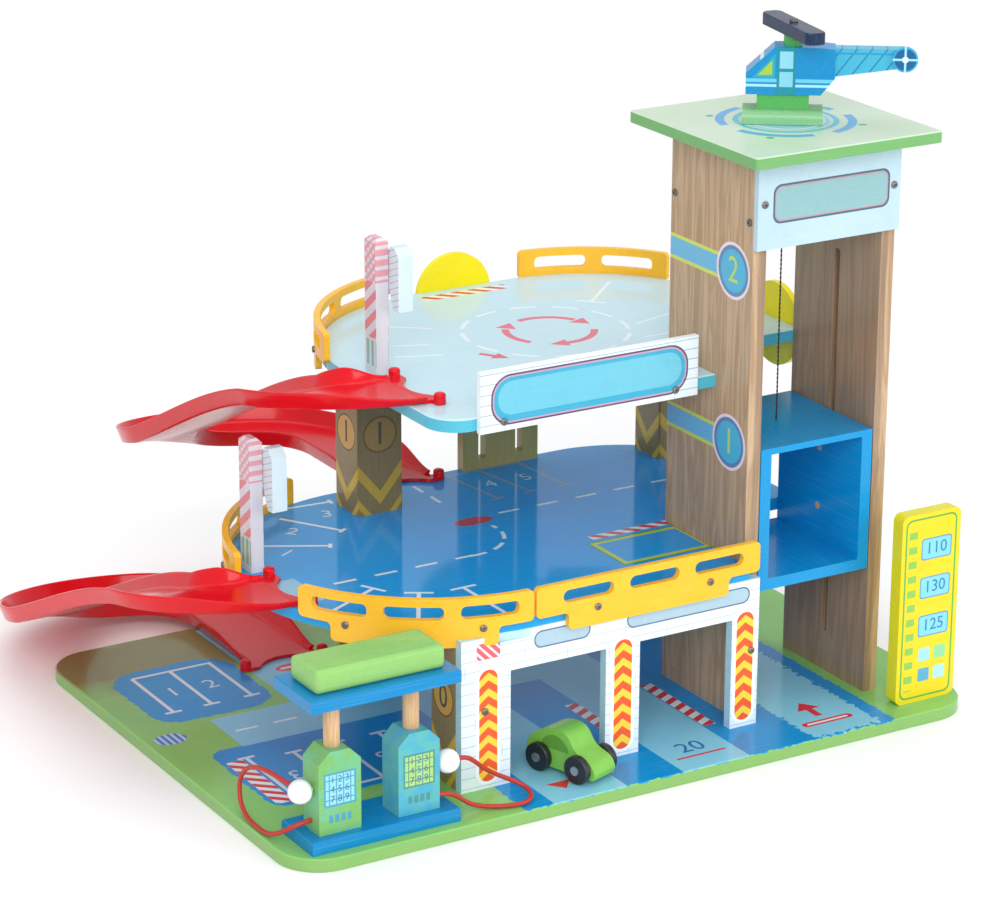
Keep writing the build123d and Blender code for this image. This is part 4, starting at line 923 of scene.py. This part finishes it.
def ramp_mesh(name, head, high, low):
    """The whole moulding: swept trough, two forked tongues and four domed lugs."""
    made = bmesh.new()
    stations = 190
    rings = []
    for i in range(stations):
        s = fork - 1 + (ramp_length - 2 * fork + 2) * i / (stations - 1)
        x, y, heading = ramp_plan(s)
        share = (s - fall_from) / (fall_to - fall_from)
        fall = (1 - math.cos(math.pi * min(1.0, max(0.0, share)))) / 2
        z = high + ramp_lift - (high - low) * fall
        risen = smooth(min((s - fork) / 64.0, (ramp_length - fork - s) / 56.0))
        half = ramp_section(ramp_low_wall + (ramp_high_wall - ramp_low_wall) * risen)
        section = half + [(-u, v) for u, v in reversed(half[1:-1])]
        side = Vector((-math.sin(heading), math.cos(heading), 0))
        origin = Vector((head[0] + x, head[1] + y, z))
        rings.append([
            made.verts.new((origin + side * -u + Vector((0, 0, v))) / 1000) for u, v in section
        ])
    bridge(made, rings)
    made.faces.new(rings[0])
    made.faces.new(list(reversed(rings[-1])))
    foot_x = head[0] - ramp_lead - ramp_bend + 2 * ramp_turn
    foot_y = head[1] + ramp_bend + ramp_run - ramp_back
    ends = [
        (Vector((*head, high + ramp_lift)), Vector((1, 0, 0)), Vector((0, 1, 0))),
        (Vector((foot_x, foot_y, low + ramp_lift)), Vector((0, -1, 0)), Vector((1, 0, 0))),
    ]
    prong = [
        (-9, 30.5), (-9, 36), (-7.5, 38.2), (-4.5, 39), (-1.5, 38.2), (0, 36), (0, 30), (0, 24.2),
    ]
    lug = [(4.5, ramp_skin - 0.2), (4.5, 6.6), (4.1, 7.6), (3.0, 8.3), (1.2, 8.6)]
    for origin, out, side in ends:
        outline = [(-fork - 1, -30), (-fork - 1, 30), *prong]
        for k in range(1, 12):
            a = math.asin(24.2 / 30) * (1 - 2 * k / 12)
            outline.append((18 - 30 * math.cos(a), 30 * math.sin(a)))
        outline += [(u, -v) for u, v in reversed(prong)]
        flat = [origin + out * u + side * v for u, v in outline]
        under = [made.verts.new((p + Vector((0, 0, 0.05))) / 1000) for p in flat]
        over = [made.verts.new((p + Vector((0, 0, ramp_skin + 0.12))) / 1000) for p in flat]
        made.faces.new(under)
        made.faces.new(over)
        bridge(made, [under, over])
        for v in (-34.5, 34.5):
            centre = origin + out * -4.5 + side * v
            loops = [[
                made.verts.new(
                    (centre + (out * c + side * s) * radius + Vector((0, 0, height))) / 1000
                ) for c, s in circle(20)
            ] for radius, height in lug]
            bridge(made, loops)
            made.faces.new(loops[-1])
            made.faces.new(loops[0])
    bmesh.ops.recalc_face_normals(made, faces=made.faces)
    return mesh_of(made, name)


ramp_paint = Paint("ramp_red_plastic", Coat_Weight=0.12, Coat_Roughness=0.05)
flow_marks = ramp_paint.noise((60, 60, 30), 3, 0.8)
scuffs = ramp_paint.noise(3, 4)
ramp_red = ramp_paint.mix(flow_marks, "d00a18", "e61a26")
ramp_paint.shader.inputs["Specular IOR Level"].default_value = 0.2
ramp_ripple = ramp_paint.noise(9, 2)
ramp_material = ramp_paint.finish(ramp_red, scuffs * 0.12 + 0.12, ramp_ripple, 0.00006)
for ramp_name, head, high, low in (
    ("ramp_lower", (-207, -44.5), lower_top, board_top),
    ("ramp_upper", (-98, -44), upper_top, lower_top),
):
    moulded = ramp_mesh(ramp_name, head, high, low)
    moulding = add_piece(
        ramp_name + "_moulding", moulded, "garage", ramp_material, 50
    )
    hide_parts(ramp_name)

# ==== Ramp barriers
# White wooden posts with red slanted stripes on the side that faces traffic, and raised
# arms that swing down on beech pins.
post_paint = Paint("barrier_post_print", Coat_Weight=0.1)
qx, qy, qz = post_paint.axes
post_height = post_paint.switch((qz - 270).edge(1), qz - lower_top, qz - upper_top)
slants = dashes(post_height + qy * 0.8, 15, 7.5)
top_hatch = dashes(post_height + qy, 8, 4.0) | dashes(post_height - qy, 8, 2.0)
post_side = (abs(qx + 104.5) - 5.2) & (abs(qx + 213.5) - 5.2)
post_colour = post_paint.layers(
    post_paint.patchy((8, 8, 40), "dcdce2", "cbced8"),
    (slants & slab(post_height, 28, 72) & post_side, "dc7f88"),
    (slab(post_height, 6, 26) & post_side & dashes(qy, 7, 4), "7fb6a8"),
    (top_hatch & slab(post_height, 72, 110), "df9aa4"),
)
dress(lacquer(post_paint, post_colour, 0.3), "barrier_post_lower", "barrier_post_upper")
boom_paint = Paint("barrier_arm_print", Coat_Weight=0.1)
arm_lines = dashes(boom_paint.y * 0.4 + boom_paint.z, 5, 0.7)
arm_base = boom_paint.patchy((10, 10, 30), "dcedf2", "c8e0ea")
arm_side = (-207.2 - boom_paint.x) | ((-98.2 - boom_paint.x) & (boom_paint.x + 120))
arm_colour = boom_paint.layers(arm_base, (arm_lines & arm_side, "c9a6b0"))
dress(lacquer(boom_paint, arm_colour, 0.3), "barrier_boom_lower", "barrier_boom_upper")

# ==== Fuel island
# Blue plinth, two painted pump blocks with printed number panels, beech columns and a blue
# canopy with a rounded green block on top.
island_paint = Paint("island_blue", Coat_Weight=0.12)
dress(lacquer(island_paint, "0084bf", 0.24), "pump_base", "canopy_plate")
block_paint = Paint("canopy_green", Coat_Weight=0.1)
block_tone = block_paint.patchy((30, 12, 12), "97c86c", "86c06c")
block_half = Vector((0.0525, 0.0200, 0.0090))
block_low, block_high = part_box("canopy_block")
block_middle = (block_low + block_high) / 2
block_middle.z = block_low.z + block_half.z
block_form = bmesh.new()
bmesh.ops.create_cube(block_form, size=1.0)
for corner in block_form.verts:
    corner.co = block_middle + Vector(2 * s * h for s, h in zip(corner.co, block_half))
bmesh.ops.bevel(
    block_form, geom=block_form.edges[:], offset=0.0045, segments=4, profile=0.6, affect="EDGES",
)
rounded = add_piece(
    "canopy_block_rounded", mesh_of(block_form, "canopy_block_rounded"), "garage",
    lacquer(block_paint, block_tone, 0.28), 60,
)
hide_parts("canopy_block")


def pump_finish(name, centre_x, ground, patches, panel, frame_ink):
    """Paint for one pump: blotched ground and a panel ruled into small squares."""
    paint = Paint(name, Coat_Weight=0.1)
    x, y, z = paint.x - centre_x, paint.y, paint.z
    front = -204.7 - y
    blotch = paint.mix((paint.noise(13, 2) - 0.5).edge(0.12), ground, patches)
    keys = slab(x, -11.5, 11.5) & slab(z, 43, 66)
    rules = keys & (dashes(x + 11.5, 5.75, 0.9, 0) | dashes(z - 43, 7.6, 0.9, 0))
    face = paint.layers(
        blotch, (tile(x, z, -13, 13, 41.5, 67.5) & front, frame_ink), (keys & front, panel),
        (rules & front, frame_ink),
        (tile(x, z, -9, 9, 29, 35) & front & dashes(x, 5, 3.4), frame_ink),
    )
    return lacquer(paint, face, 0.3)


pumps = {
    "pump_green": (-257, "78b464", "70b884", "8fd2ea", "4a98b0"),
    "pump_blue": (-192.5, "4ca8c0", "58b0b2", "a9cf78", "4a9086"),
}
for pump_name, looks in pumps.items():
    dress(pump_finish(pump_name + "_print", *looks), pump_name)
numerals(
    "pump_numerals",
    [(row, 5.4, wall_place(looks[0], -205, z, front_run)) for looks in pumps.values()
     for row, z in (("1 2 3", 62), ("4 5 6", 54.5), ("7 8 9", 47))],
    ink("ink_pump_blue", "3a6f9c"), "garage",
)

# ==== Price board
# Yellow upright board glued to the baseboard, with pale windows of plain figures and a few
# coloured tiles.
price_paint = Paint("price_print", Coat_Weight=0.12)
gx, gy, gz = price_paint.axes
frame_line = cushion(gx, gz, 239.5, 288.5, 13.5, 163.5, 6) & -cushion(gx, gz, 241, 287, 15, 162, 5)
price_inks = [(frame_line, "5aa84c")]
price_rows = {"110": 137, "130": 105, "125": 73}
for row_z in price_rows.values():
    price_inks += [
        (cushion(gx, gz, 255, 284, row_z - 9, row_z + 9, 2.5), "5a90b8"),
        (cushion(gx, gz, 256, 283, row_z - 8, row_z + 8, 2), "82d0e2"),
    ]
price_tiles = ((262, 49, "9fd7e6"), (277, 49, "8fd39a"), (262, 32, "5aa8c8"), (277, 32, "a9dcea"))
for x, z, colour in price_tiles:
    price_inks.append((cushion(gx, gz, x - 5.5, x + 5.5, z - 5.5, z + 5.5, 1.5), colour))
price_inks.append((slab(gx, 243, 251) & slab(gz, 20, 158) & dashes(gz, 12, 6), "8cc152"))
price_print = price_paint.layers(price_paint.patchy(30, "ecd51c", "e6cc1a"), *price_inks)
price_colour = price_paint.mix((-201.7 - gy).edge(), "eadf1c", price_print)
dress(lacquer(price_paint, price_colour, 0.26), "price_board")
numerals(
    "price_figures",
    [(price, 10, wall_place(269.5, -202, z, front_run)) for price, z in price_rows.items()],
    ink("ink_price_blue", "2f7fae"), "garage",
)

# ==== Helicopter
# Sawn wooden helicopter, loose on the roof: printed blue body with a pale tail, green skid
# block and neck, navy rotor blade turning on a steel screw.
heli_place, heli_foot, heli_tail = (177, -108.5, -35), 488.8, 38.2
heli_paint = Paint("helicopter_print", Coat_Weight=0.15)
along, across = turned(heli_paint.x, heli_paint.y, *heli_place)
lift = heli_paint.z - heli_foot
side = abs(across) - 10.8
window = slab(lift, 15, 31) & (along + 19 + (lift - 15) * -0.95) & (-8.5 - along)
heli_colour = heli_paint.layers(
    heli_paint.patchy(20, "0888c4", "1292cc"),
    (slab(lift, 6, 8) & side, "a9e4f4"), (slab(lift, 9.5, 12.2) & side, "6fc9ea"),
    (slab(along, -5, 9) & side, "1b8f9e"),
    (slab(along, -3, 7) & slab(lift, 20, 33) & side, "8fd3e6"),
    (slab(along, -3, 7) & slab(lift, 6, 17.5) & side, "86cfe0"),
    ((window + 2.2) & side, "2aa9b8"), (window & side, "a9c83f"), (along - heli_tail, "45b2d0"),
    ((along - heli_tail) & dashes(along * 0.8 + lift * -0.6, 9, 1.2), "1f86b8"),
    ((along - heli_tail) & slab(lift, 30.6, 32), "2f93c4"),
    ((6.5 - abs(along + 21.5)) & (lift - 26) & -side, "d8f1f8"),
)
dress(lacquer(heli_paint, heli_colour, 0.22), "heli_body")
rotor_paint = Paint("tail_rotor_print", Coat_Weight=0.15)
ru = turned(rotor_paint.x, rotor_paint.y, *heli_place)[0] - 90
rv = rotor_paint.z - (heli_foot + 28)
tail_colour = rotor_paint.layers(
    "2aa5d8", (8.2 - reach(ru, rv), "1c5f94"), ((0.8 - abs(ru)) | (0.8 - abs(rv)), "9fe2f2"),
    (2.4 - reach(ru, rv), "d8f4fa"),
)
dress(lacquer(rotor_paint, tail_colour, 0.22), "heli_tail_disc")
skid_paint = Paint("skid_green", Coat_Weight=0.12)
skid_tone = skid_paint.mix((skid_paint.z - 477.2).edge(0.4), "84bd86", "50ac56")
dress(lacquer(skid_paint, skid_tone, 0.26), "heli_undercarriage", "heli_mast")
blade_paint = Paint("blade_navy", Coat_Weight=0.15)
dress(lacquer(blade_paint, "1c2f50", 0.24, 0.00003, (0.7, 60, 0.7)), "heli_blade")

# ==== Toy car
# Green sawn wooden car with softened edges and printed side windows, on black wooden wheels
# with steel hub caps.
car_x, car_y, car_heading = -46.5, -177.3, -72
car_paint = Paint("car_print", Coat_Weight=0.12)
c_along, c_across = turned(car_paint.x, car_paint.y, car_x, car_y, car_heading)
c_up = car_paint.z - 10.3
car_side = abs(c_across) - 11.7
glass = slab(c_up, 19, 31) & (14 - reach(c_along + 6, (c_up - 17) * 1.05)) & car_side
pane = glass - 1.4
car_colour = car_paint.layers(
    car_paint.patchy(14, "72b644", "86c456"),
    (glass, "5f9a3a"), (pane & -slab(c_along, -7.2, -5.6), "7fa08a"),
    (slab(c_along, -14, -12.8) & slab(c_up, 6, 19) & car_side, "6da83a"),
)
car_finish = lacquer(car_paint, car_colour, 0.3)
body_copy = bmesh.new()
body_copy.from_mesh(nodes["car_body"].data)
bmesh.ops.remove_doubles(body_copy, verts=body_copy.verts, dist=1e-6)
bmesh.ops.dissolve_limit(
    body_copy, angle_limit=math.radians(1.0), verts=body_copy.verts, edges=body_copy.edges
)
car_piece = add_piece(
    "car_softened", mesh_of(body_copy, "car_softened"), "car", car_finish, 40
)
soften = car_piece.modifiers.new("soften", "BEVEL")
soften.width = 0.0014
soften.segments = 3
soften.limit_method = "ANGLE"
soften.angle_limit = math.radians(50)
soften.use_clamp_overlap = True
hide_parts("car_body")
for wheel_name, axle_at in (("car_wheels_front", 19), ("car_wheels_rear", -19)):
    axle_x = car_x + axle_at * math.cos(math.radians(car_heading))
    axle_y = car_y + axle_at * math.sin(math.radians(car_heading))
    wheel_paint = Paint(wheel_name + "_paint", Coat_Weight=0.2)
    w_along = turned(wheel_paint.x, wheel_paint.y, axle_x, axle_y, car_heading)[0]
    w_radius = reach(w_along, wheel_paint.z - 21.3)
    hub = (3.5 - w_radius).edge(0.2)
    speckle = wheel_paint.noise(4)
    black = wheel_paint.mix(speckle, "16191c", "24282c")
    wheel_paint.feed(wheel_paint.shader.inputs["Metallic"], hub)
    tread = abs(w_radius - 7.5).held(0.0, 1.0)
    wheel_colour = wheel_paint.mix(hub, black, "c9cacc")
    dress(wheel_paint.finish(wheel_colour, speckle * 0.2 + 0.3, tread, 0.0002), wheel_name)

# ==== Screws
# Dull plated cross-head wood screws that hold rails, boards and battens; the same head sits
# on every screw of the record, and one larger one holds the rotor.
steel_paint = Paint("screw_steel", Metallic=1.0)
brushed = steel_paint.noise((0.6, 0.6, 4))
steel_tone = steel_paint.mix(brushed, "6d6a68", "8f8c88")
steel_material = steel_paint.finish(steel_tone, brushed * 0.3 + 0.3)
dress(steel_material, "wood_screws", "heli_rotor_screw")


def screw_head_mesh():
    """Domed head with a cross recess, 1 m in radius before it is scaled."""
    made = bmesh.new()
    dome = ((1.0, 0.0), (1.0, 0.12), (0.86, 0.26), (0.62, 0.36), (0.42, 0.39))
    rings = [
        [made.verts.new((radius * c, radius * s, height)) for c, s in circle(24)]
        for radius, height in dome
    ]
    cross = []
    for k, (c, s) in enumerate(circle(24)):
        arm = 0.38 if k % 6 in (0, 1, 5) else 0.13
        cross.append(made.verts.new((arm * c, arm * s, 0.39)))
    pit = [made.verts.new((v.co.x * 0.8, v.co.y * 0.8, 0.1)) for v in cross]
    bridge(made, rings + [cross, pit])
    made.faces.new(pit)
    made.faces.new(list(reversed(rings[0])))
    bmesh.ops.recalc_face_normals(made, faces=made.faces)
    return mesh_of(made, "screw_head")


def scatter_heads(name, places, radius, body):
    """Geometry Nodes tree that sets one screw head on each point, turned to its face."""
    points = bpy.data.meshes.new(name + "_points")
    points.from_pydata([spot for spot, _ in places], [], [])
    facing = points.attributes.new("facing", "FLOAT_VECTOR", "POINT")
    facing.data.foreach_set("vector", [v for _, out in places for v in out])
    carrier = bpy.data.objects.new(name + "_points", points)
    scene.collection.objects.link(carrier)
    head = bpy.data.objects.new(name + "_head", screw_head_mesh())
    scene.collection.objects.link(head)
    tree = bpy.data.node_groups.new(name, "GeometryNodeTree")
    tree.interface.new_socket("Geometry", in_out="INPUT", socket_type="NodeSocketGeometry")
    size_input = tree.interface.new_socket(
        "Head radius", in_out="INPUT", socket_type="NodeSocketFloat"
    )
    tree.interface.new_socket("Geometry", in_out="OUTPUT", socket_type="NodeSocketGeometry")
    entry, leave, info, onto, real, paint, read, align, spin, angle, euler = (
        tree.nodes.new(kind) for kind in (
            "NodeGroupInput", "NodeGroupOutput", "GeometryNodeObjectInfo",
            "GeometryNodeInstanceOnPoints", "GeometryNodeRealizeInstances",
            "GeometryNodeSetMaterial", "GeometryNodeInputNamedAttribute",
            "FunctionNodeAlignRotationToVector", "FunctionNodeRotateRotation",
            "FunctionNodeRandomValue", "ShaderNodeCombineXYZ",
        )
    )
    read.data_type = "FLOAT_VECTOR"
    read.inputs[0].default_value = "facing"
    info.inputs[0].default_value = head
    align.axis = "Z"
    angle.inputs["Seed"].default_value = 7
    spin.rotation_space = "LOCAL"
    paint.inputs["Material"].default_value = steel_material
    for start, end in (
        (entry.outputs[0], onto.inputs["Points"]),
        (info.outputs["Geometry"], onto.inputs["Instance"]),
        (read.outputs[0], align.inputs["Vector"]), (angle.outputs[1], euler.inputs[2]),
        (align.outputs[0], spin.inputs[0]), (euler.outputs[0], spin.inputs[1]),
        (spin.outputs[0], onto.inputs["Rotation"]), (entry.outputs[1], onto.inputs["Scale"]),
        (onto.outputs[0], real.inputs[0]), (real.outputs[0], paint.inputs["Geometry"]),
        (paint.outputs[0], leave.inputs[0]),
    ):
        tree.links.new(start, end)
    modifier = carrier.modifiers.new("heads", "NODES")
    modifier.node_group = tree
    modifier[size_input.identifier] = radius
    bpy.context.view_layer.update()
    mesh = bpy.data.meshes.new_from_object(
        carrier.evaluated_get(bpy.context.evaluated_depsgraph_get())
    )
    carrier.modifiers.clear()
    bpy.data.objects.remove(carrier)
    bpy.data.objects.remove(head)
    return add_piece(name, mesh, body, None, 35)


def arc_screw(centre, radius, degrees, z):
    """Place and facing of a screw in a rail bent round a centre, millimetres in, metres out."""
    out = Vector((math.cos(math.radians(degrees)), math.sin(math.radians(degrees)), 0))
    return (Vector((*centre, z)) + out * radius) / 1000, out


rail_arcs = [
    ((-79, -20), 158, (203.0, 269.6), 138.0), ((-79, -20), 158, (105.0, 173.5), 138.0),
    ((21, 33), 150, (103.0, 171.0), 277.5), ((110, 50), 133, (29.0, 85.5), 277.5),
]
screw_places = [
    arc_screw(centre, radius + 0.6, first + share * (last - first), z)
    for centre, radius, (first, last), z in rail_arcs for share in (0.22, 0.78)
]
front_screws = [
    (-25, -178.6, 138.0), (75, -178.6, 138.0), (120.5, -170.6, 423), (238, -170.6, 423),
    (-119, -173.6, 72), (117.5, -173.6, 72), (-75, -125.6, 275), (75, -125.6, 275),
]
screw_places += [(Vector(spot) / 1000, (0, -1, 0)) for spot in front_screws]
screw_places += [
    (Vector((x, y, 408)) / 1000, (out, 0, 0)) for y in (-160, -60)
    for x, out in ((113.9, -1), (244.6, 1))
]
scatter_heads("screw_heads", screw_places, 0.0028, "garage")
blade_low, blade_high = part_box("heli_rotor_screw")
rotor_spot = (blade_low + blade_high) / 2
rotor_spot.z = blade_high.z - 0.0012
scatter_heads("rotor_screw_head", [(rotor_spot, (0, 0, 1))], 0.0034, "helicopter")

# ==== Floor and light
# Plain white sheet that fades into a white surround, keeping the shadow, and soft lamps:
# two from the front and one overhead. Gloss sees a dimmer surround, so the blues stay deep.
floor_half, floor_z = 1.5, -0.0003
floor_mesh = bpy.data.meshes.new("floor")
floor_mesh.from_pydata(
    [(x * floor_half, y * floor_half, floor_z) for x, y in ((-1, -1), (1, -1), (1, 1), (-1, 1))],
    [], [(0, 1, 2, 3)],
)
floor = bpy.data.objects.new("floor", floor_mesh)
scene.collection.objects.link(floor)
floor_paint = Paint("floor_white")
far_off = reach(floor_paint.x, floor_paint.y)
kept = ((1350 - far_off) / 600).held(0.0, 1.0)
floor_paint.feed(floor_paint.shader.inputs["Alpha"], kept)
floor_paint.finish("fdfdfd", 0.9)
floor_mesh.materials.append(floor_paint.material)

world = bpy.data.worlds.new("studio")
scene.world = world
world.use_nodes = True
sky = world.node_tree
sky.nodes.clear()
seen, lit, rays, either, choose, leave = (
    sky.nodes.new(kind) for kind in (
        "ShaderNodeBackground", "ShaderNodeBackground", "ShaderNodeLightPath", "ShaderNodeMath",
        "ShaderNodeMixShader", "ShaderNodeOutputWorld",
    )
)
seen.inputs[0].default_value = (1, 1, 1, 1)
seen.inputs[1].default_value = 1.0
lit.inputs[0].default_value = (0.97, 0.985, 1, 1)
lit.inputs[1].default_value = 0.72
either.operation = "MAXIMUM"
for start, end in (
    (rays.outputs["Is Camera Ray"], either.inputs[0]),
    (rays.outputs["Is Transmission Ray"], either.inputs[1]),
    (either.outputs[0], choose.inputs[0]), (lit.outputs[0], choose.inputs[1]),
    (seen.outputs[0], choose.inputs[2]), (choose.outputs[0], leave.inputs[0]),
):
    sky.links.new(start, end)

for lamp_name, spot, aim, size, watts in (
    ("key", (-1.7, -2.9, 2.0), (0, 0, 0.15), 2.2, 74),
    ("fill", (2.3, -2.9, 1.2), (0, 0, 0.15), 2.4, 42),
    ("overhead", (0.3, 0.6, 3.2), (0, 0, 0), 2.6, 26),
):
    lamp = bpy.data.objects.new(lamp_name, bpy.data.lights.new(lamp_name, "AREA"))
    lamp.data.shape = "SQUARE"
    lamp.data.size = size
    lamp.data.energy = watts
    lamp.location = spot
    lamp.rotation_euler = (Vector(aim) - Vector(spot)).to_track_quat("-Z", "Y").to_euler()
    scene.collection.objects.link(lamp)

scene.view_settings.view_transform = "Standard"
